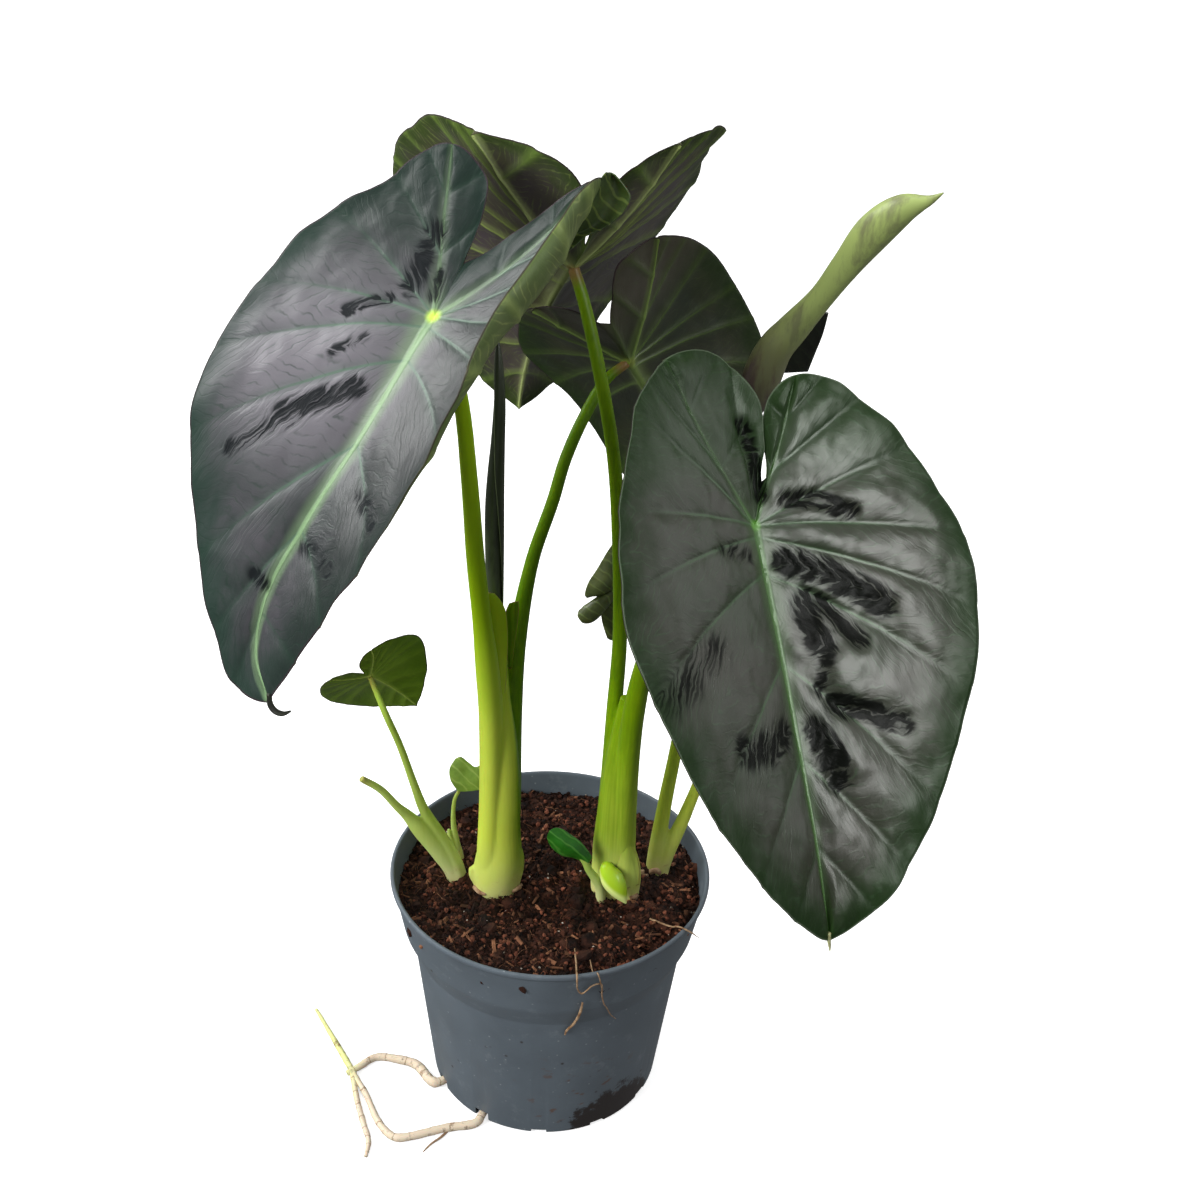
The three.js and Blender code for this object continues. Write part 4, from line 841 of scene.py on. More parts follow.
BLADES = {
    "front_left": dict(
        node="front_left_blade", at=(-59, -60, 513), length=197, heading=-131, pitch=36.5, roll=-5.5,
        bend=34, tip_bend=5, lobe_bend=-19, sweep=2, wave=1.5, waves=7,
        right=dict(span=91, fold=14.5, curl=-15, edge=0, lobe=(14.5, -15, 0), lobe_end=0.17, quilt=1.9),
        left=dict(span=96, fold=8, curl=38, edge=57, lobe=(4, 42.5, 216), lobe_end=0.2, quilt=1.2),
        roll_from=0.57, roll_until=0.69,
        puckers=((((46, 11), (59, 23), (71, 35)), 5, 1), (((72, 32), (83, 40), (96, 50)), 4.5, 0.7),
                 (((3, 24), (10, 31), (17, 37)), 3.4, 0.8), (((24, 20), (31, 25), (37, 30)), 3, 0.5),
                 (((88, -26), (92, -38), (96, -47)), 4.5, 0.55),
                 (((119, -6), (119, -18), (122, -30)), 5, 0.5), (((141, 12), (143, 6)), 3.5, 0.6),
                 (((-37, 24), (-24, 22), (-6, 18)), 6, 0.6), (((-20, 10), (-8, 6)), 4, 0.5)),
        midrib=((0, 0), (60, -5), (110, 0), (150, 3), (176, -3), (188.5, -22)),
        right_line=((-29, 3), (-46, 6), (-57, 8), (-67, 12), (-74, 22), (-78, 34), (-76, 46), (-66, 55),
                    (-50, 62), (-29, 76), (-4, 86), (22, 89), (47, 91), (73, 87), (96, 77), (118, 62),
                    (140, 48), (160, 34), (178, 18), (189, 9), (192.5, 2), (193, -7.5), (191, -16),
                    (188.5, -22)),
        left_line=((-29, 3), (-43, -6), (-60, -19), (-76, -36), (-84, -54), (-82, -67), (-72, -72),
                   (-55, -74), (-30, -76), (8, -80), (43, -79.5), (71, -76), (95, -68), (118, -57),
                   (142, -43), (162, -32), (180, -25), (188.5, -22))),
    "front_right": dict(
        node="front_right_blade", at=(95, -60, 415), length=204, heading=-68.5, pitch=50, roll=-14,
        bend=5, tip_bend=8, lobe_bend=-6, sweep=-2, wave=1, waves=6,
        right=dict(span=110, fold=18, curl=-1.5, edge=0, lobe_end=0.25, quilt=1.8),
        left=dict(span=110, fold=17, curl=-1.5, edge=-6, lobe_end=0.155, quilt=2.8),
        puckers=((((-10, -19), (-8, -33), (0, -50)), 5, 0.8),
                 (((20, -12), (27, -28), (36, -42), (47, -57)), 7, 1),
                 (((40, -22), (49, -31), (63, -41)), 4.5, 0.9), (((41, -18), (52, -18), (62, -21)), 7, 1),
                 (((91, -22), (97, -36), (105, -55)), 5.5, 0.9),
                 (((102, -11), (114, -15), (126, -16)), 7, 0.9), (((101, 12), (106, 26), (106, 44)), 9, 0.6),
                 (((78, 91), (71, 75), (58, 52)), 12, 0.35), (((60, -23), (83, -16)), 6, 0.5),
                 (((-50, -2), (-40, -5), (-14, -6)), 4, 0.8), (((15, 12), (12, 30)), 6, 0.4)),
        midrib=((0, 0), (200.5, 0)),
        right_line=((-21, -8), (-24, -8.2), (-30, -9.8), (-36, -12), (-44, -13), (-53, -14), (-62, -12.6),
                    (-72, -7), (-80, 1), (-85, 14), (-85, 30), (-80, 47), (-70, 62), (-53, 78), (-30, 91),
                    (-4, 102), (22, 108), (49, 110), (75, 103), (100, 93), (122, 83), (145, 67), (162, 51),
                    (178, 35), (190, 19), (198, 7), (200.5, 0)),
        left_line=((-21, -8), (-23, -11), (-29, -14), (-36, -12.6), (-44, -12.8), (-53, -14.6), (-62, -19),
                   (-70, -29), (-72, -40), (-66, -56), (-53, -70), (-40, -83), (-22, -93), (-5, -101),
                   (15, -109), (40, -111), (62, -107), (86, -99), (110, -87), (132, -75), (150, -63),
                   (169, -47), (185, -31), (196, -12), (200.5, 0))),
    "top_back": dict(
        node="top_back_blade", at=(0.3, 40, 506.6), length=190, heading=108.5, pitch=37, roll=-5,
        bend=16, tip_bend=5, lobe_bend=-21, sweep=6, wave=1.5, waves=6,
        right=dict(span=114, fold=22, curl=15, edge=0, lobe_end=0.2, quilt=2.0),
        left=dict(span=114, fold=37, curl=29, edge=0, lobe_end=0.26, quilt=2.0),
        midrib=((0, 0), (190, 0)),
        right_line=((-26, 0), (-48, 5), (-66, 9), (-77, 19), (-76, 42), (-69, 66), (-60, 82), (-45, 93),
                    (-24, 94), (0, 99), (22, 105), (50, 110), (71, 107), (92, 97), (115, 84), (138, 70),
                    (155, 58), (172, 44), (183, 28), (189, 12), (192, 0)),
        left_line=((-26, 0), (-50, -5), (-70, -11), (-79, -23), (-78, -36), (-72, -50), (-65, -63),
                   (-60, -74), (-55, -85), (-46, -95), (-30, -101), (-11, -104), (17, -110), (40, -112),
                   (60, -108), (90, -96), (120, -80), (150, -58), (168, -41), (180, -26), (188, -11),
                   (192, 0))),
    "middle_back": dict(
        node="middle_back_blade", at=(31.5, 68, 445), length=164, heading=56, pitch=48.5, roll=-22.5,
        bend=25, tip_bend=5, lobe_bend=13, sweep=-5, wave=1, waves=5,
        right=dict(span=79, fold=47, curl=8, edge=0, lobe_end=0.2, quilt=1.6),
        left=dict(span=79, fold=20.5, curl=2.5, edge=0, lobe_end=0.22, quilt=1.6),
        midrib=((0, 0), (162, 0)),
        right_line=((-36, 4), (-48, 12), (-58, 19), (-64, 29), (-60, 43), (-54, 51), (-45, 58), (-35, 64),
                    (-22, 69), (-7, 73), (6, 75), (25, 77), (44, 79), (62, 80), (85, 75), (105, 64),
                    (125, 47), (143, 28), (155, 10), (162, 0)),
        left_line=((-36, 4), (-44, 0), (-54, -5), (-57, -14), (-51, -27), (-40, -41), (-24, -60), (-5, -73),
                   (16, -82), (33, -82), (44, -74), (56, -67), (70, -63), (84, -60), (105, -55), (125, -44),
                   (143, -27), (155, -11), (162, 0))),
    "left_small": dict(
        node="left_small_blade", at=(-104, 0, 279), length=55, heading=66, pitch=39.5, roll=-46.5,
        bend=21, tip_bend=5, lobe_bend=0, sweep=0, wave=0.4, waves=4, half_width=33,
        right=dict(span=33, fold=14, curl=6, edge=0, lobe_end=0.2, quilt=0.5),
        left=dict(span=33, fold=6.5, curl=8, edge=0, lobe_end=0.2, quilt=0.5)),
}


def smooth(x, start, end):
    share = np.clip((x - start) / (end - start), 0, 1)
    return share * share * (3 - 2 * share)


def arc(length, slope, curvature):
    """How far along and how high an arc has come after a length."""
    k = np.where(np.abs(curvature) < 1e-6, 1e-6, curvature)
    return (np.sin(slope + k * length) - np.sin(slope)) / k, (np.cos(slope) - np.cos(slope + k * length)) / k


def blade_surface(leaf, s, t):
    """Places in mm of the blade's middle sheet, s along its midrib and t across it."""
    rad = math.pi / 180
    length = leaf["length"]
    h, p = leaf["heading"] * rad, leaf["pitch"] * rad
    along = Vector((math.cos(h) * math.cos(p), math.sin(h) * math.cos(p), -math.sin(p)))
    across = Vector((math.sin(h), -math.cos(h), 0))
    across.rotate(Matrix.Rotation(leaf["roll"] * rad, 3, along))
    up = np.array(across.cross(along))
    along, across = np.array(along), np.array(across)
    body = -leaf["bend"] * rad / length
    tip_from = 0.7 * length
    tip_turn = -leaf["tip_bend"] * rad / (length - tip_from)
    lobe = -leaf["lobe_bend"] * rad / (0.42 * length)
    first = arc(np.minimum(np.maximum(s, 0), tip_from), 0.0, body)
    rest = np.maximum(s - tip_from, 0)
    last = arc(rest, body * tip_from, body + tip_turn)
    back = arc(np.maximum(-s, 0), 0.0, lobe)
    x = np.where(s >= 0, first[0] + last[0], -back[0])
    z = np.where(s >= 0, first[1] + last[1], back[1])
    slope = np.where(s >= 0, body * s + tip_turn * rest, lobe * s)
    in_lobe = 1 - smooth(s, -0.25 * length, 0.25 * length)
    out = np.zeros_like(s)
    rise = np.zeros_like(s)
    for side, sign in ((leaf["right"], 1), (leaf["left"], -1)):
        here = t >= 0 if sign > 0 else t < 0
        lobe_side = side.get("lobe", (side["fold"], side["curl"], side["edge"]))
        start = leaf.get("roll_from", 0.6) * side["span"]
        until = leaf.get("roll_until", 9) * length
        fade = 1 - smooth(s, until - 0.25 * length, until)
        fold, curl, edge = [(a * (1 - in_lobe) + b * in_lobe) * rad
                            for a, b in zip((side["fold"], side["curl"], side["edge"]), lobe_side)]
        curl = curl / side["span"]
        edge = edge / (side["span"] - start) * fade
        inner = arc(np.minimum(np.abs(t), start), fold, curl)
        outer = arc(np.maximum(np.abs(t) - start, 0), fold + curl * start, curl + edge)
        out = np.where(here, sign * (inner[0] + outer[0]), out)
        rise = np.where(here, inner[1] + outer[1], rise)
    out = out + leaf["sweep"] * (np.maximum(s, 0) / length) ** 2
    return (np.array(leaf["at"], float) + np.outer(x - rise * np.sin(slope), along)
            + np.outer(z + rise * np.cos(slope), up) + np.outer(out, across))


def blade_normals(leaf, s, t):
    e = 0.4
    ds = blade_surface(leaf, s + e, t) - blade_surface(leaf, s - e, t)
    dt = blade_surface(leaf, s, t + e) - blade_surface(leaf, s, t - e)
    normal = np.cross(dt, ds)
    return normal / np.linalg.norm(normal, axis=1)[:, None]


def resampled(line, count=600):
    """A smooth outline as points evenly spaced along it."""
    line = np.hstack([np.array(line, float), np.zeros((len(line), 1))])
    dense = along_path(line, np.linspace(0, len(line) - 1, 1200))[:, :2]
    run = np.r_[0, np.cumsum(np.linalg.norm(np.diff(dense, axis=0), axis=1))]
    even = np.linspace(0, run[-1], count)
    return np.stack([np.interp(even, run, dense[:, k]) for k in (0, 1)], axis=1)


def point_at(line, share):
    at = np.clip(share, 0, 1) * (len(line) - 1)
    return np.stack([np.interp(at, np.arange(len(line)), line[:, k]) for k in (0, 1)], axis=1)


def half_blade(name, leaf, sign, per_vein, rows, finish):
    """One half of a blade as a closed-over sheet: the upper face out to the margin and the underside back."""
    side = leaf["right"] if sign > 0 else leaf["left"]
    line = leaf.get("right_line" if sign > 0 else "left_line")
    if line is None:
        line = [(s * leaf["length"], sign * t / 0.539 * leaf["half_width"]) for s, t in GROWN]
    margin = resampled(line)
    midrib = resampled(leaf.get("midrib", ((0, 0), line[-1])), 400)
    lobe_tip = point_at(margin, np.array([side["lobe_end"]]))[0]
    lobe_rib = resampled(((0, 0), tuple(lobe_tip * 0.5 + np.array((-2.0, 3.0 * sign))), tuple(lobe_tip)), 400)
    last_midrib = len(MIDRIB_VEINS) - 1
    veins = last_midrib + len(LOBE_VEINS)
    start = MIDRIB_VEINS[-1][1]
    margin_share = [m for _, m in MIDRIB_VEINS]
    for k, share in enumerate(LOBE_MARGIN):
        end = side["lobe_end"]
        margin_share.append(start + (end - start) * share if k < 3 else end * share)
    columns = veins * per_vein
    size = leaf["length"] / 200

    def lay(u, r):
        phase = u * veins
        on_midrib = phase <= last_midrib
        foot = point_at(midrib, np.interp(phase, np.arange(len(MIDRIB_VEINS)), [a for a, _ in MIDRIB_VEINS]))
        lobe_share = np.interp(phase, np.arange(last_midrib, veins + 1), (0,) + LOBE_VEINS)
        foot = np.where(on_midrib[:, None], foot, point_at(lobe_rib, lobe_share))
        rim = point_at(margin, np.interp(phase, np.arange(veins + 1), margin_share))
        bow = np.interp(phase, (0, 1, 4, 6, 8), (0, 0.3, 1, 0.6, 0)) * 0.16
        bow = bow * np.linalg.norm(rim - foot, axis=1)
        places = foot + (rim - foot) * r[:, None]
        places[:, 0] += bow * (r * r - r)
        return places, phase, rim, foot

    def place(u, v):
        row = np.round(v * (2 * rows + 1))
        under = row > rows
        r = np.where(under, 2 * rows + 1 - row, row) / rows
        st, phase, rim, foot = lay(u, r)
        step = 0.5 / columns
        ahead = lay(np.minimum(u + step, 1), r)[0]
        behind = lay(np.maximum(u - step, 0), r)[0]
        out = (rim - foot) / np.maximum(np.linalg.norm(rim - foot, axis=1), 1e-6)[:, None]
        jump = ahead - behind
        moved = np.where(u < step, 0.5, np.where(u > 1 - step, 0.5, 1.0)) / per_vein
        gap = np.abs(jump[:, 0] * out[:, 1] - jump[:, 1] * out[:, 0]) / moved
        off = np.abs(phase - np.round(phase))
        from_vein = off * gap
        core = np.full(len(st), np.inf)
        for line, thick, thinning, power in ((midrib[::7], 2.5, 2.0, 0.8), (lobe_rib[::7], 1.7, 1.2, 0.7)):
            step = np.diff(line, axis=0)
            gone = ((st[:, None] - line[:-1]) * step).sum(axis=2) / (step ** 2).sum(axis=1)
            gone = np.clip(gone, 0, 1)
            away = np.linalg.norm(st[:, None] - line[:-1] - gone[:, :, None] * step, axis=2)
            half = (thick - thinning * np.linspace(0, 1, len(step)) ** power) * size
            core = np.minimum(core, (away / half).min(axis=1))
        length = np.linalg.norm(rim - foot, axis=1)
        from_margin = (1 - r) * length
        # The blade swells between its veins, most near the middle of each field.
        field = np.floor(phase)
        vary = 0.75 + 0.5 * ((field * 0.618 + (0.3 if sign > 0 else 0.8)) % 1)
        window = smooth(r, 0.02, 0.32) * (1 - 0.7 * smooth(r, 0.62, 1.0))
        swell = side["quilt"] * vary * np.sin(np.pi * off) ** 0.8 * window * np.minimum(gap / (30 * size), 1)
        crumple = np.array([noise.noise(Vector((a / 17, b / 17, leaf["length"]))) * 0.9
                            + noise.noise(Vector((a / 6, b / 6, 4.0))) * 0.28 for a, b in st])
        crumple *= size * smooth(r, 0.0, 0.1) * min(side["quilt"], 2.0) * 0.6
        crumple += size * smooth(r, 0.0, 0.2) * side["quilt"] * 0.55 * np.array(
            [noise.noise(Vector((a / 34, b / 34, 9.0 + leaf["length"]))) for a, b in st])
        # Puckers are crumpled hollows beside the veins, with folds 6 mm apart across them.
        pucker = np.zeros(len(st))
        for path, wide, depth in leaf.get("puckers", ()):
            line = resampled(path, 24)
            away_from = np.sqrt(((st[:, None, :] - line[None]) ** 2).sum(axis=2)).min(axis=1)
            pucker = np.maximum(pucker, depth * np.exp(-(away_from / wide) ** 2))
        folds = np.sin(2 * np.pi * (r * length - 1.3 * off * gap) / 9 + 4 * crumple)
        crumple += pucker * size * (0.6 * folds - 1.6)
        groove = 0.4 * size * np.exp(-(from_vein / (1.3 * size)) ** 2) * smooth(r, 0, 0.05) * (1 - 0.6 * r)
        ridge = -0.5 * size * np.exp(-(core / 2.6) ** 2)
        turn = np.interp(phase, np.arange(veins + 1), margin_share) / 2
        if sign < 0:
            turn = 1 - turn
        swing = np.sin(2 * np.pi * leaf["waves"] * turn) * leaf["wave"] * r ** 3
        ripple = 0.35 * size * np.sin(2 * np.pi * turn * leaf["waves"] * 3.7 + 1.0) * smooth(r, 0.8, 1.0)
        top = swing + ripple + swell + crumple - groove + ridge
        thick = RIM_THICK_MM + (BLADE_THICK_MM - RIM_THICK_MM) * smooth(from_margin, 0, 3)
        thick = thick * min(1.0, 0.55 + 0.45 * size)
        rib = 0.75 * size * np.exp(-(from_vein / size) ** 2) * (1 - 0.75 * r) * smooth(r, 0, 0.04)
        taper = 1 - 0.75 * smooth(np.linalg.norm(st, axis=1), 0, leaf["length"] * 0.95)
        spine = 2.2 * size * np.exp(-(core / 1.15) ** 2) * taper
        low = top - ridge - thick - rib - spine
        lift = np.where(under, low, top)
        facts["from_vein"] = from_vein
        facts["core"] = core
        facts["from_margin"] = from_margin
        facts["fine"] = (r * length - 1.5 * off * gap) / 7.0
        facts["pucker"] = pucker
        facts["veins"] = np.stack([r * length, off * gap], axis=1)
        facts["st"] = st
        facts["row"] = row
        normal = blade_normals(leaf, st[:, 0], st[:, 1])
        return (blade_surface(leaf, st[:, 0], st[:, 1]) + normal * lift[:, None]) * MM

    facts = {}
    piece = sheet(name, columns, 2 * rows + 1, place)
    for key in ("from_vein", "core", "from_margin", "fine", "pucker"):
        mark(piece, key, facts[key])
    corners = np.empty(len(piece.data.loops), np.int32)
    piece.data.loops.foreach_get("vertex_index", corners)
    uv = piece.data.uv_layers.active or piece.data.uv_layers.new(name="UVMap")
    uv.data.foreach_set("uv", (facts["st"][corners] * MM).astype(np.float32).ravel())
    along_veins = piece.data.uv_layers.new(name="along_veins")
    along_veins.data.foreach_set("uv", (facts["veins"][corners] * MM).astype(np.float32).ravel())
    # The upper face takes the first material, the underside and the rim the second.
    faces = np.empty(len(piece.data.polygons) * 4, np.int32)
    piece.data.polygons.foreach_get("vertices", faces)
    upper = facts["row"][faces].reshape(-1, 4).max(axis=1) <= rows
    for material in finish:
        piece.data.materials.append(material)
    piece.data.polygons.foreach_set("material_index", np.where(upper, 0, 1).astype(np.int32))
    return piece


def blade(name, per_vein, rows, finish, extras=()):
    leaf = BLADES[name]
    halves = [half_blade(f"{name}_{sign}", leaf, sign, per_vein, rows, finish) for sign in (1, -1)]
    whole = close_seams(joined(f"{name}_leaf_blade", halves))
    return joined(whole.name, [whole, *extras]) if extras else whole


def blade_skin(name, field, rim, vein, far_vein, core, fine_line, halo=0.4, vein_halo=0.3, fine=0.3,
               rough=0.4, coat=0.1, hub="#b9dc4a", hub_mm=5.0, edge_line="#33242c", wrinkle_mm=0.5,
               lobe=None, lobe_fade=0.0, hollow="#0b0d0f", painted_sheen=None, gloss=0.5):
    """Leaf skin: two tones in clouds, deeper towards the rim, with the veins as clear lines. It may carry a
    painted sheen over the middle and painted shade on the half that turns up, and its puckers are darkened
    with painted shade.
    """
    skin = new_material(name, **{"IOR": 1.45, "Coat Roughness": 0.32})
    where = add(skin, "ShaderNodeTexCoord", give="Object")
    sheet_place = add(skin, "ShaderNodeUVMap", uv_map="UVMap")
    vein_place = add(skin, "ShaderNodeUVMap", uv_map="along_veins")
    from_vein = add(skin, "ShaderNodeAttribute", give="Fac", attribute_name="from_vein")
    ahead = add(skin, "ShaderNodeSeparateXYZ", {"Vector": sheet_place}, give=0)
    aside = add(skin, "ShaderNodeSeparateXYZ", {"Vector": sheet_place}, give=1)
    from_core = add(skin, "ShaderNodeAttribute", give="Fac", attribute_name="core")
    from_margin = add(skin, "ShaderNodeAttribute", give="Fac", attribute_name="from_margin")
    fine_run = add(skin, "ShaderNodeAttribute", give="Fac", attribute_name="fine")
    clouds = add(skin, "ShaderNodeTexNoise", {"Vector": where, "Scale": 30, "Detail": 5, "Roughness": 0.6})
    spread = add(skin, "ShaderNodeMapRange", {"Value": clouds, 1: 0.36, 2: 0.64})
    tone = add(skin, "ShaderNodeMix", {0: spread, 6: linear(field[0]), 7: linear(field[1])}, 2,
               data_type="RGBA")
    ragged = add(skin, "ShaderNodeTexNoise", {"Vector": vein_place, "Scale": 90, "Detail": 4})
    inward = add(skin, "ShaderNodeMath", {0: ragged, 1: 30.0, 2: from_margin}, operation="MULTIPLY_ADD")
    near_rim = add(skin, "ShaderNodeMapRange", {"Value": inward, 1: 44.0, 2: 15.0, 4: 0.85},
                   interpolation_type="SMOOTHSTEP")
    coats = [(near_rim, linear(rim))]
    if painted_sheen:
        # A paler painted sheen lies over the middle.
        middle = add(skin, "ShaderNodeVectorMath", {0: sheet_place, 1: (0.045, 0.032, 0)}, give="Value",
                     operation="DISTANCE")
        middle = add(skin, "ShaderNodeMath", {0: clouds, 1: 0.03, 2: middle}, operation="MULTIPLY_ADD")
        middle = add(skin, "ShaderNodeMapRange", {"Value": middle, 1: 0.085, 2: 0.03, 4: 0.75},
                     interpolation_type="SMOOTHSTEP")
        # Painted shade darkens the half that turns up.
        painted_shade_half = add(skin, "ShaderNodeMapRange", {"Value": aside, 1: -0.004, 2: -0.03, 4: 0.75},
                        interpolation_type="SMOOTHSTEP")
        coats += [(middle, linear(painted_sheen)), (painted_shade_half, linear("#1d2321"))]
    if lobe:
        part = add(skin, "ShaderNodeMath", {0: clouds, 1: 0.02, 2: ahead}, operation="MULTIPLY_ADD")
        part = add(skin, "ShaderNodeMapRange", {"Value": part, 1: 0.006, 2: -0.03, 4: 0.85},
                   interpolation_type="SMOOTHSTEP")
        coats.append((part, linear(lobe)))
    # The finest veins sweep from the strong ones towards the margin, about 4 mm apart, wavering a little.
    waver = add(skin, "ShaderNodeTexNoise", {"Vector": sheet_place, "Scale": 60, "Detail": 3})
    swept = add(skin, "ShaderNodeMath", {0: waver, 1: 3.0, 2: fine_run}, operation="MULTIPLY_ADD")
    run = add(skin, "ShaderNodeMath", {0: swept, 1: 0.5}, operation="PINGPONG")
    lines = add(skin, "ShaderNodeMapRange", {"Value": run, 1: 0.16, 2: 0.0}, interpolation_type="SMOOTHSTEP")
    seen = add(skin, "ShaderNodeMapRange", {"Value": ragged, 1: 0.42, 2: 0.62, 4: fine})
    shown = add(skin, "ShaderNodeMath", {0: lines, 1: seen}, operation="MULTIPLY")
    reach = add(skin, "ShaderNodeMapRange", {"Value": from_margin, 1: 18.0, 2: 62.0})
    vein_tone = add(skin, "ShaderNodeMix", {0: reach, 6: linear(far_vein), 7: linear(vein)}, 2,
                    data_type="RGBA")
    vein_glow = add(skin, "ShaderNodeMapRange", {"Value": from_vein, 1: 5.0, 2: 0.0, 4: vein_halo},
                    interpolation_type="SMOOTHSTEP")
    # The ribs of the lobes are fainter than the midrib.
    faint = add(skin, "ShaderNodeMapRange", {"Value": ahead, 1: -0.02, 2: 0.004, 3: 1 - lobe_fade, 4: 1.0})
    core_glow = add(skin, "ShaderNodeMapRange", {"Value": from_core, 1: 5.0, 2: 0.5, 4: halo},
                    interpolation_type="SMOOTHSTEP")
    core_glow = add(skin, "ShaderNodeMath", {0: core_glow, 1: faint}, operation="MULTIPLY")
    fade = add(skin, "ShaderNodeMapRange", {"Value": from_margin, 1: 6.0, 2: 60.0, 3: 0.1, 4: 0.75})
    vein_line = add(skin, "ShaderNodeMapRange", {"Value": from_vein, 1: 1.0, 2: 0.25},
                    interpolation_type="SMOOTHSTEP")
    vein_line = add(skin, "ShaderNodeMath", {0: vein_line, 1: fade}, operation="MULTIPLY")
    core_line = add(skin, "ShaderNodeMapRange", {"Value": from_core, 1: 1.2, 2: 0.4, 4: 0.75},
                    interpolation_type="SMOOTHSTEP")
    core_line = add(skin, "ShaderNodeMath", {0: core_line, 1: faint}, operation="MULTIPLY")
    reach = add(skin, "ShaderNodeVectorMath", {0: sheet_place}, give="Value", operation="LENGTH")
    spot = add(skin, "ShaderNodeMapRange", {"Value": reach, 1: hub_mm * MM, 2: 0.001},
               interpolation_type="SMOOTHSTEP")
    rim_line = add(skin, "ShaderNodeMapRange", {"Value": from_margin, 1: 0.9, 2: 0.4, 4: 0.8})
    # Wrinkles follow the finest veins, in patches and all over the puckers. The puckers are the darkest,
    # because their hollow tone is painted shade.
    drawn_out = add(skin, "ShaderNodeMath", {0: from_vein, 1: 0.05}, operation="MULTIPLY")
    flow = add(skin, "ShaderNodeCombineXYZ", {"X": swept, "Y": drawn_out})
    wrinkles = add(skin, "ShaderNodeTexNoise", {"Vector": flow, "Scale": 1.6, "Detail": 4, "Distortion": 0.4})
    patches = add(skin, "ShaderNodeTexNoise", {"Vector": sheet_place, "Scale": 30, "Detail": 2})
    patches = add(skin, "ShaderNodeMapRange", {"Value": patches, 1: 0.4, 2: 0.65, 3: 0.12, 4: 0.6})
    pucker = add(skin, "ShaderNodeAttribute", give="Fac", attribute_name="pucker")
    patches = add(skin, "ShaderNodeMath", {0: pucker, 1: 2.4, 2: patches}, operation="MULTIPLY_ADD")
    creases = add(skin, "ShaderNodeMath", {0: wrinkles, 1: patches}, operation="MULTIPLY")
    streaked = add(skin, "ShaderNodeMapRange", {"Value": wrinkles, 1: 0.4, 2: 0.6, 3: 1.5, 4: 0.4})
    # The hollow tone is painted shade, laid in the creases of the puckers.
    sunk = add(skin, "ShaderNodeMath", {0: pucker, 1: streaked}, operation="MULTIPLY")
    sunk = add(skin, "ShaderNodeMapRange", {"Value": sunk, 1: 0.08, 2: 0.55, 4: 0.95},
               interpolation_type="SMOOTHSTEP")
    coats += [(shown, linear(fine_line)), (vein_glow, vein_tone), (core_glow, linear(core)),
              (vein_line, vein_tone), (core_line, linear(core)), (spot, linear(hub)),
              (rim_line, linear(edge_line)), (sunk, linear(hollow))]
    for seen, colour in coats:
        tone = add(skin, "ShaderNodeMix", {0: seen, 6: tone, 7: colour}, 2, data_type="RGBA")
    pebbles = add(skin, "ShaderNodeTexNoise", {"Vector": sheet_place, "Scale": 800, "Detail": 2})
    relief = add(skin, "ShaderNodeMath", {0: lines, 1: -0.05, 2: creases}, operation="MULTIPLY_ADD")
    relief = add(skin, "ShaderNodeMath", {0: pebbles, 1: 0.06, 2: relief}, operation="MULTIPLY_ADD")
    relief = add(skin, "ShaderNodeMath", {0: core_line, 1: 0.5, 2: relief}, operation="MULTIPLY_ADD")
    bump = add(skin, "ShaderNodeBump", {"Height": relief, "Strength": 1.0, "Distance": wrinkle_mm * MM})
    # It shines least in the puckers and towards the margin.
    shine = add(skin, "ShaderNodeMapRange", {"Value": sunk, 3: 1.0, 4: 0.12})
    edge_shine = add(skin, "ShaderNodeMapRange", {"Value": inward, 1: 16.0, 2: 50.0, 3: 0.2, 4: 1.0})
    shine = add(skin, "ShaderNodeMath", {0: shine, 1: edge_shine}, operation="MULTIPLY")
    dress(skin, {
        "Base Color": tone,
        "Roughness": add(skin, "ShaderNodeMapRange", {"Value": clouds, 3: rough - 0.07, 4: rough + 0.1}),
        "Specular IOR Level": add(skin, "ShaderNodeMath", {0: shine, 1: gloss}, operation="MULTIPLY"),
        "Coat Weight": add(skin, "ShaderNodeMath", {0: shine, 1: coat}, operation="MULTIPLY"),
        "Normal": bump,
    })
    return skin


def small_skin(name, dark, light, vein, rough=0.42):
    """Skin of a young blade or a small part: two tones in soft streaks, with pale flecks of vein."""
    skin = new_material(name, **{"Roughness": rough, "IOR": 1.45, "Coat Weight": 0.06,
                                 "Subsurface Weight": 0.05, "Subsurface Scale": 0.002})
    where = add(skin, "ShaderNodeTexCoord", give="Object")
    streaks = add(skin, "ShaderNodeTexNoise", {"Vector": where, "Scale": 110, "Detail": 4, "Roughness": 0.6})
    spread = add(skin, "ShaderNodeMapRange", {"Value": streaks, 1: 0.36, 2: 0.64})
    tone = add(skin, "ShaderNodeMix", {0: spread, 6: linear(dark), 7: linear(light)}, 2, data_type="RGBA")
    waves = add(skin, "ShaderNodeTexWave", {"Vector": where, "Scale": 75, "Distortion": 4.0, "Detail": 2.0},
                give="Fac", bands_direction="DIAGONAL")
    lines = add(skin, "ShaderNodeMapRange", {"Value": waves, 1: 0.86, 2: 0.98, 4: 0.45})
    tone = add(skin, "ShaderNodeMix", {0: lines, 6: tone, 7: linear(vein)}, 2, data_type="RGBA")
    bump = add(skin, "ShaderNodeBump", {"Height": waves, "Strength": 0.5, "Distance": 0.0003})
    dress(skin, {"Base Color": tone, "Normal": bump})
    return skin
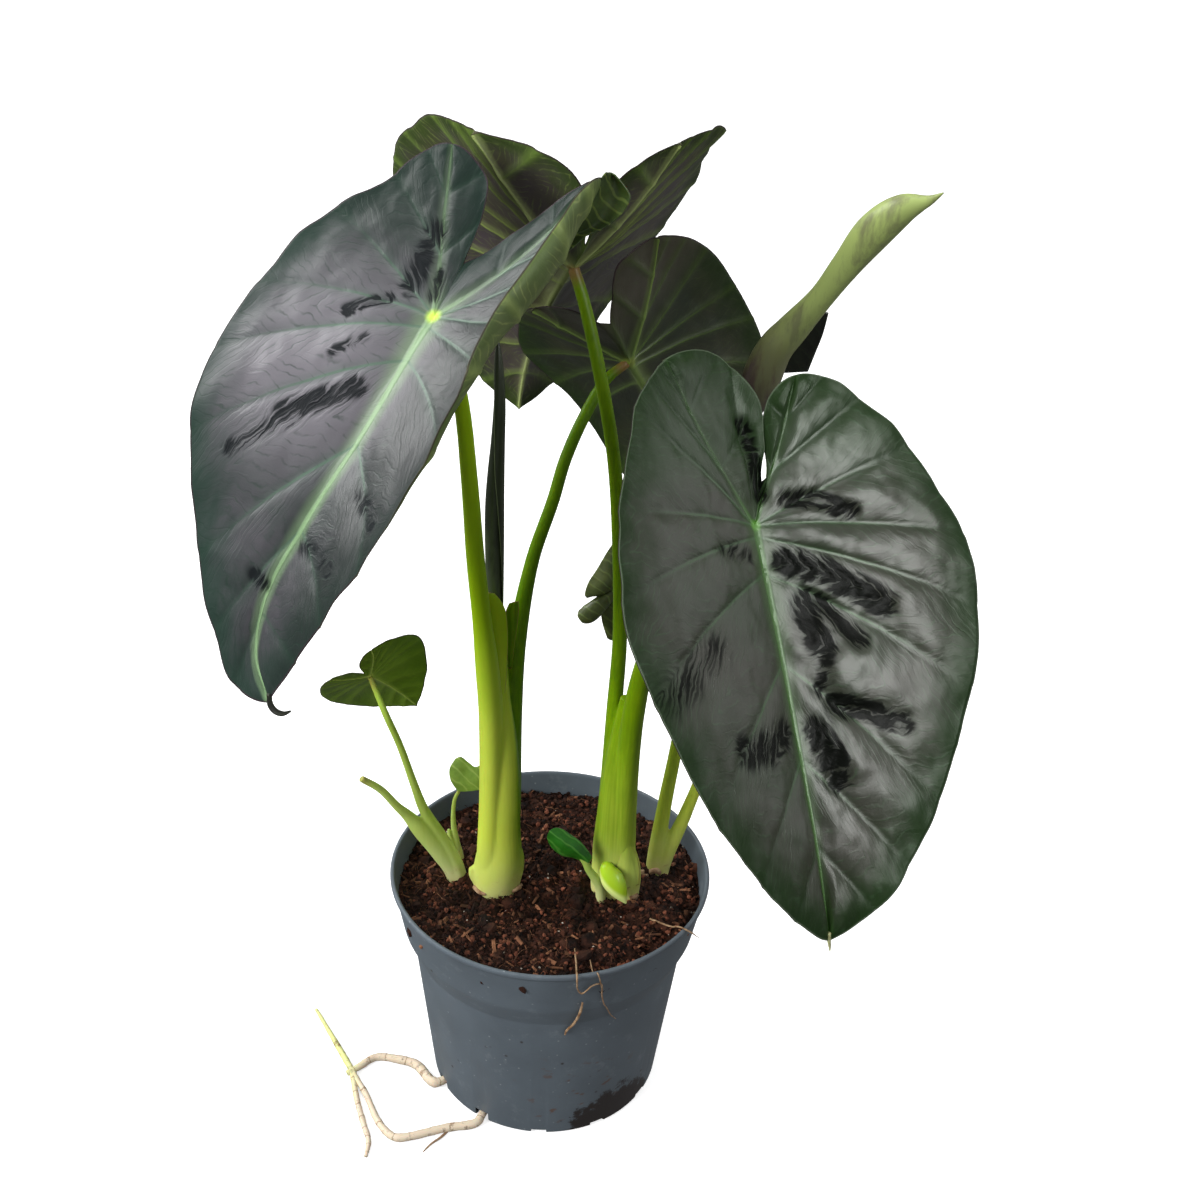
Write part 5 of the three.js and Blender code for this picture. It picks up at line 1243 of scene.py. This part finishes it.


# Each hollow colour below is painted shade in the puckers' creases, and the grey skin's paler middle is a
# painted sheen.
GREY_UPPER = blade_skin("grey-green upper skin", ("#2b3130", "#3d3b40"), "#20322a", "#4d6655", "#1e3528",
                        "#7d9c70", "#1c2e25", halo=0.45, vein_halo=0.2, fine=0.6, rough=0.4, coat=0.15,
                        wrinkle_mm=0.9, lobe="#17241f", lobe_fade=0.7, painted_sheen="#6f6c72", hollow="#191c1e")
DARK_UPPER = blade_skin("dark quilted upper skin", ("#2a3322", "#33342a"), "#1f3518", "#3c5836", "#24361f",
                        "#4c7836", "#3c5a3a", halo=0.25, vein_halo=0.15, fine=0.3, rough=0.36, coat=0.36,
                        hub="#5f9a38", hub_mm=4.0, edge_line="#5c6b55", wrinkle_mm=0.9, lobe="#24381b",
                        lobe_fade=0.7, hollow="#080a08", gloss=0.28)
PURPLE_UNDER = blade_skin("purple-grey underside", ("#453c40", "#4c4a36"), "#33451a", "#8c9f52", "#6f8a3a",
                          "#b3c27a", "#7c8e48", halo=0.35, vein_halo=0.35, fine=0.4, rough=0.5, coat=0.03,
                          hub="#a08f4c")
MIDDLE_UNDER = blade_skin("dark green underside", ("#1d2815", "#30341e"), "#223314", "#5f7639", "#4a6126",
                          "#86a052", "#3f5228", halo=0.3, vein_halo=0.25, fine=0.3, rough=0.5, coat=0.03,
                          hub="#8a9a3c", lobe="#4d493f")
DARK_UNDER = blade_skin("olive underside", ("#20281a", "#39392c"), "#223016", "#5f7639", "#4a6126", "#86a052",
                        "#3f5228", halo=0.3, vein_halo=0.25, fine=0.3, rough=0.5, coat=0.03, hub="#8a9a3c")
PALE_UNDER = blade_skin("pale olive underside", ("#5c6240", "#74794c"), "#55683a", "#a0ad6a", "#8a9b58",
                        "#b9c988", "#93a05c", halo=0.3, vein_halo=0.5, fine=0.5, rough=0.5, coat=0.03)
YOUNG_SKIN = blade_skin("young leaf skin", ("#5f7c20", "#728f2e"), "#587322", "#93ad48", "#7c9636", "#b4c963",
                        "#86a03a", halo=0.35, vein_halo=0.3, fine=0.2, rough=0.42, coat=0.05, hub="#b3c25c",
                        hub_mm=3.0)
DRIED_TIP = small_skin("dried tip skin", "#14170f", "#23261a", "#2c3022", 0.6)
PALE_TIP = small_skin("pale tip skin", "#8f9465", "#b3b184", "#c9c79c", 0.5)
LOBE_SKIN = small_skin("turned lobe skin", "#2c3d17", "#40521f", "#76883f", 0.5)
# The two front blades end in a drip tip, and the left one's lobe turns its underside out at the end.
LOBE_NET_MM = (
    ((-8.5, -67, 549.5), (-4.0, -60, 547.0), (0.5, -63, 546.5)),
    ((-4.5, -67, 553.8), (0.0, -60, 550.0), (5.0, -63, 550.4)),
    ((-0.2, -67, 557.9), (3.5, -60, 553.7), (8.4, -63, 554.0)),
    ((3.9, -67, 562.5), (10.0, -60, 557.6), (15.7, -63, 557.5)),
    ((7.6, -67, 567.3), (14.6, -60, 562.7), (21.6, -63, 562.2)),
    ((10.4, -67, 573.3), (17.3, -60, 568.6), (25.6, -63, 567.6)),
    ((13.2, -67, 578.2), (19.7, -60, 574.3), (26.9, -63, 572.1)),
    ((14.8, -67, 581.6), (19.0, -60, 579.1), (23.2, -63, 577.7)),
    ((16.2, -67, 583.2), (17.6, -60, 581.4), (19.8, -63, 581.2)),
)
LEFT_TIP_MM = ((-122.8, -154.5, 368.5, 3.4, 1.1), (-122.6, -156, 364, 2.7, 1.1),
               (-120.5, -156.5, 360.4, 2.2, 1), (-117, -157, 359.4, 1.7, 0.9), (-113.3, -157, 361, 0.5, 0.5))
RIGHT_TIP_MM = ((137.1, -169.6, 258, 3, 1.0), (137.5, -171, 253.9, 1.6, 0.9), (138, -171.4, 251.5, 0.8, 0.7),
                (138.4, -171.8, 248.6, 0.3, 0.3))
lobe = skin_over("turned_lobe", LOBE_NET_MM, 20, 40, 0.7)
lobe.data.materials.append(LOBE_SKIN)
left_tip = stalk("left_tip", LEFT_TIP_MM, 16, 6, (0, 1, 0))
left_tip.data.materials.append(DRIED_TIP)
right_tip = stalk("right_tip", RIGHT_TIP_MM, 16, 6, (0, 1, 0))
right_tip.data.materials.append(PALE_TIP)
EXTRAS = {"front_left": (lobe, left_tip), "front_right": (right_tip,)}
# Upper skin, underside, slot, and how fine the blade is laid out: columns from vein to vein, and rows.
BLADE_FINISH = {
    "front_left": (GREY_UPPER, PALE_UNDER, "blade_grey", 16, 60),
    "front_right": (DARK_UPPER, DARK_UNDER, "blade_dark", 16, 60),
    "top_back": (GREY_UPPER, PURPLE_UNDER, "blade_back", 12, 48),
    "middle_back": (GREY_UPPER, MIDDLE_UNDER, "blade_back", 12, 44),
    "left_small": (YOUNG_SKIN, YOUNG_SKIN, "blade_small", 6, 20),
}
for name, (upper, under, slot, per_vein, rows) in BLADE_FINISH.items():
    keep(blade(name, per_vein, rows, (upper, under), EXTRAS.get(name, ())), None, slot, BLADES[name]["node"])


# The small folded blade behind the front one is a soft sheet with its margin rolled in; the tiny blade is
# round-lobed; and a sucker has pushed up one narrow first leaf beside the middle clump, on its own stalk.
FOLDED_UPPER_NET_MM = (
    ((30.5, 57, 343.5), (34, 56.5, 344), (39, 58, 343)),
    ((24.7, 55, 334), (31, 51.5, 332), (39, 54, 330)),
    ((19.6, 53, 324), (28, 48, 323), (38, 51, 322)),
    ((14.9, 51.5, 315.5), (24, 46.5, 315), (35, 49, 317)),
    ((13.2, 51, 308), (21, 48, 309.5), (33, 50, 315.8)),
    ((14.4, 53, 304.6), (22, 52, 308.6), (33, 54, 314.6)),
)
FOLDED_ROLL_MM = ((9.6, 51.5, 293, 0.8, 0.8), (11.2, 51.2, 293.6, 3.6, 3.6), (14.5, 50.6, 294.6, 5.4, 5),
                  (19, 50.4, 298.6, 5.4, 4.8), (24, 50.8, 304.4, 4.4, 4), (30, 51.8, 310.8, 3.2, 3),
                  (37, 53.5, 316.5, 2.6, 2.6))
FOLDED_HANGING_NET_MM = (
    ((21.5, 56, 303), (27, 54.6, 305), (35, 55, 309)),
    ((22.6, 56.6, 294), (28, 54.8, 295), (34.5, 55.4, 297)),
    ((24.4, 57.4, 284.5), (29, 55.8, 284.5), (34, 56.4, 285.5)),
    ((27.4, 58.4, 274.8), (30, 57.2, 274.2), (33.4, 57.8, 274.6)),
)
FOLDED_SKIN = small_skin("folded blade skin", "#3c4722", "#5a6436", "#76864a")
folded = joined("small_folded_leaf", [
    skin_over("folded_upper", FOLDED_UPPER_NET_MM, 24, 40, 0.7),
    stalk("folded_roll", FOLDED_ROLL_MM, 28, 6, (0, 0, 1)),
    skin_over("folded_hanging", FOLDED_HANGING_NET_MM, 16, 24, 0.7),
])
keep(folded, FOLDED_SKIN, "blade_back", "small_folded_blade")

TINY_NET_MM = (
    ((-57.6, 15, 191.4), (-55.6, 15, 190.2), (-50, 15.5, 190.4), (-44, 16, 191.2), (-37, 17, 193)),
    ((-61.2, 16.4, 197.5), (-57, 15.4, 197), (-50, 16, 197), (-43.5, 16.5, 197.5), (-36, 18, 198)),
    ((-61.8, 18, 204.4), (-57, 16.8, 204), (-51, 17.5, 202), (-44, 18, 202.6), (-36.2, 19.5, 203.5)),
    ((-58.6, 20.5, 210), (-55.2, 20.4, 211.4), (-50.4, 20.2, 207.4), (-46.6, 20, 205), (-40, 21, 208.6)),
)
TINY_SKIN = small_skin("tiny blade skin", "#64802e", "#82a044", "#a6bb62")
keep(skin_over("tiny_leaf_blade", TINY_NET_MM, 40, 30, 0.6), TINY_SKIN, "blade_small", "tiny_blade")

SUCKER_STALK_MM = ((31, -13, 134, 3, 3), (29.8, -14.4, 147, 3, 3), (26.6, -15.8, 155, 2.7, 2.5),
                   (23, -16.6, 161.5, 2.3, 2), (20.6, -17, 167.4, 2.1, 1.5), (17.5, -17.2, 171.4, 1.4, 1))
SUCKER_NET_MM = (
    ((21.4, -17, 166.4), (23, -18, 168.8), (24.6, -17, 171)),
    ((17.8, -17, 168.6), (19.8, -19.2, 173), (21.6, -17, 176.6)),
    ((13.2, -17, 170.6), (15.2, -19.8, 177), (17, -17, 183)),
    ((7.8, -17, 171.4), (10, -20, 179.4), (11.6, -17, 187.4)),
    ((2.8, -17, 175), (4.8, -19.6, 183), (6.6, -17, 191)),
    ((-0.6, -17, 180), (0.8, -18.2, 186), (2.4, -17, 191.6)),
    ((-2, -17, 184.4), (-1.6, -17.4, 187.2), (-0.6, -17, 189.6)),
)
SUCKER_SKIN = small_skin("sucker leaf skin", "#1a5210", "#2a6b1a", "#57923a", 0.3)
sucker_stalk = stalk("sucker_stalk", SUCKER_STALK_MM, 20)
sucker_stalk.data.materials.append(PETIOLE_SKINS["petiole_pale"])
sucker_blade = skin_over("sucker_blade", SUCKER_NET_MM, 20, 40, 0.7)
sucker_blade.data.materials.append(SUCKER_SKIN)
keep(joined("sucker_leaf_piece", [sucker_blade, sucker_stalk]), None, "blade_small", "sucker_leaf")


# The next leaf of the left clump stands rolled up like a spear between the two petioles, nearly black
# green, and the youngest blade of the right shoot is still rolled along its length. Both are one sheet,
# wound on itself, so that its free margin shows as a line down the roll.
def wound(name, path_mm, turns, layer_mm, start, twist, across=160, along=110):
    """A sheet wound round a path of x, y, z and radius: out along its outer face and back along the inner."""
    points = np.array(path_mm, float)

    def place(u, v):
        inside = u > 0.5
        share = np.where(inside, 2 - 2 * u, 2 * u)
        here, side, other = across_path(points, v * (len(points) - 1), (1, 0, 0))
        reach = here[:, 3]
        layer = np.minimum(layer_mm, reach * 0.38 + 0.1)
        turn = 2 * np.pi * turns * share + start + twist * v
        radius = reach - layer * turns * (1 - share) - inside * np.minimum(0.6, layer * 0.45)
        facts["face"] = share
        facts["climb"] = v
        ring = side * (radius * np.cos(turn))[:, None] + other * (radius * np.sin(turn))[:, None]
        return (here[:, :3] + ring) * MM

    facts = {}
    piece = sheet(name, across, along, place)
    for key in ("face", "climb"):
        mark(piece, key, facts[key])
    return close_seams(piece)


def rolled_skin(name, low, high, shade, edge_tone, rough):
    """Skin of a rolled blade: it changes tone as it climbs, is streaked lengthwise and has a pale margin."""
    skin = new_material(name, **{"Roughness": rough, "IOR": 1.45, "Coat Weight": 0.08})
    where = add(skin, "ShaderNodeTexCoord", give="Object")
    climb = add(skin, "ShaderNodeAttribute", give="Fac", attribute_name="climb")
    face = add(skin, "ShaderNodeAttribute", give="Fac", attribute_name="face")
    across = add(skin, "ShaderNodeVectorMath", {0: where, 1: (95, 95, 22)}, operation="MULTIPLY")
    clouds = add(skin, "ShaderNodeTexNoise", {"Vector": across, "Scale": 1, "Detail": 5, "Roughness": 0.65})
    mixed = add(skin, "ShaderNodeMath", {0: clouds, 1: 0.45, 2: climb}, operation="MULTIPLY_ADD")
    mixed = add(skin, "ShaderNodeMapRange", {"Value": mixed, 1: 0.42, 2: 0.72})
    tone = add(skin, "ShaderNodeMix", {0: mixed, 6: linear(low), 7: linear(high)}, 2, data_type="RGBA")
    shadow = add(skin, "ShaderNodeMapRange", {"Value": clouds, 1: 0.5, 2: 0.66, 4: 0.8})
    tone = add(skin, "ShaderNodeMix", {0: shadow, 6: tone, 7: linear(shade)}, 2, data_type="RGBA")
    margin = add(skin, "ShaderNodeMapRange", {"Value": face, 1: 0.985, 2: 0.997, 4: 0.8})
    tone = add(skin, "ShaderNodeMix", {0: margin, 6: tone, 7: linear(edge_tone)}, 2, data_type="RGBA")
    bump = add(skin, "ShaderNodeBump", {"Height": clouds, "Strength": 0.35, "Distance": 0.0008})
    dress(skin, {"Base Color": tone, "Normal": bump})
    return skin


SPEAR_MM = ((-33.9, -2, 296, 3.6), (-34, -1.5, 312, 4.2), (-34.6, -1, 332, 4.8), (-35.4, 1, 362, 5.5),
            (-35.6, 2, 388, 5.5), (-35.2, 3.5, 405, 5), (-34.4, 5, 424, 4.2), (-33.8, 6, 445, 3.6),
            (-34.4, 8, 466, 2.4), (-35, 9.4, 478, 0.5))
SPEAR_SKIN = rolled_skin("rolled spear leaf", "#3c4630", "#252e1a", "#12180a", "#5f6b4a", 0.42)
keep(wound("spear_leaf", SPEAR_MM, 1.6, 1.0, 2.2, 3.4), SPEAR_SKIN, "spear", "rolled_new_leaf")

ROLLED_MM = ((100, 44, 426, 3.4), (100, 44, 434, 8), (101.5, 43.6, 447, 11.2), (107.3, 43, 465.4, 10.4),
             (114.9, 42, 476.6, 9.4), (127.3, 37, 496.3, 7.6), (137.2, 32, 515.2, 8.6),
             (147.8, 25, 535.2, 10.4), (158.5, 17, 548.8, 8.4), (169.4, 10, 555.9, 3.2),
             (174.4, 6, 561.1, 0.5))
ROLLED_FLAP_NET_MM = (
    ((126, 46, 486.5), (130, 46.5, 486), (133, 47, 485)),
    ((119, 48, 473), (126, 48.5, 473), (131.6, 48.5, 473)),
    ((111, 50, 461), (120, 50, 461), (129, 49.5, 462)),
    ((103, 50, 449), (114, 50.5, 449.5), (126.2, 50, 451)),
)
ROLLED_SKIN = rolled_skin("rolled leaf underside", "#51433c", "#93a35e", "#65664a", "#97a866", 0.42)
# The flap shows the blade's inner face, painted near-black as painted shade inside the roll.
ROLLED_INNER_SHADE = small_skin("rolled leaf inner face in painted shade", "#0f120c", "#1b2014", "#20281a")
rolled = wound("rolled_leaf_blade", ROLLED_MM, 1.45, 1.8, 2.4, 0.9)
rolled.data.materials.append(ROLLED_SKIN)
rolled_flap = skin_over("rolled_flap", ROLLED_FLAP_NET_MM, 14, 30, 0.7)
rolled_flap.data.materials.append(ROLLED_INNER_SHADE)
keep(joined("young_rolled_leaf", [rolled, rolled_flap]), None, "blade_young", "young_rolled_blade")


# A fat yellow-green bud breaks through at the foot of the middle clump. It is smooth and waxy, like a
# tooth, and its scale is paler inside than out.
BUD_MM = ((34, -6.4, 158.6, 2.4, 2.4), (33.6, -12, 161, 3.8, 3.4), (34.2, -15.6, 160.6, 5.2, 4.4),
          (36.6, -18, 157, 6.7, 5), (39.8, -19.8, 152, 6, 4.6), (42.6, -20.8, 147.4, 4, 3.2),
          (44.6, -21.4, 143.8, 1.9, 1.5), (45.6, -21.6, 141.8, 0.5, 0.5))
BUD_SKIN = new_material("bud skin", **{"Roughness": 0.32, "IOR": 1.42, "Subsurface Weight": 0.2,
                                       "Subsurface Scale": 0.003})
spot = add(BUD_SKIN, "ShaderNodeTexCoord", give="Object")
# The face at its lower left is the pale inside of the scale, with a sharp line where the outside begins.
tilted = add(BUD_SKIN, "ShaderNodeVectorMath", {0: spot, 1: (0.6, -0.2, 0.8)}, give="Value",
             operation="DOT_PRODUCT")
pale = add(BUD_SKIN, "ShaderNodeMapRange", {"Value": tilted, 1: 0.1515, 2: 0.1485},
           interpolation_type="SMOOTHSTEP")
tone = add(BUD_SKIN, "ShaderNodeMix", {0: pale, 6: linear("#a4c824"), 7: linear("#dcec8e")}, 2,
           data_type="RGBA")
clouds = add(BUD_SKIN, "ShaderNodeTexNoise", {"Vector": spot, "Scale": 190, "Detail": 3})
bump = add(BUD_SKIN, "ShaderNodeBump", {"Height": clouds, "Strength": 0.3, "Distance": 0.0005})
dress(BUD_SKIN, {"Base Color": tone, "Normal": bump})
keep(stalk("foot_bud", BUD_MM, 32, 8, (1, 0, 0)), BUD_SKIN, "bud", "base_bud")
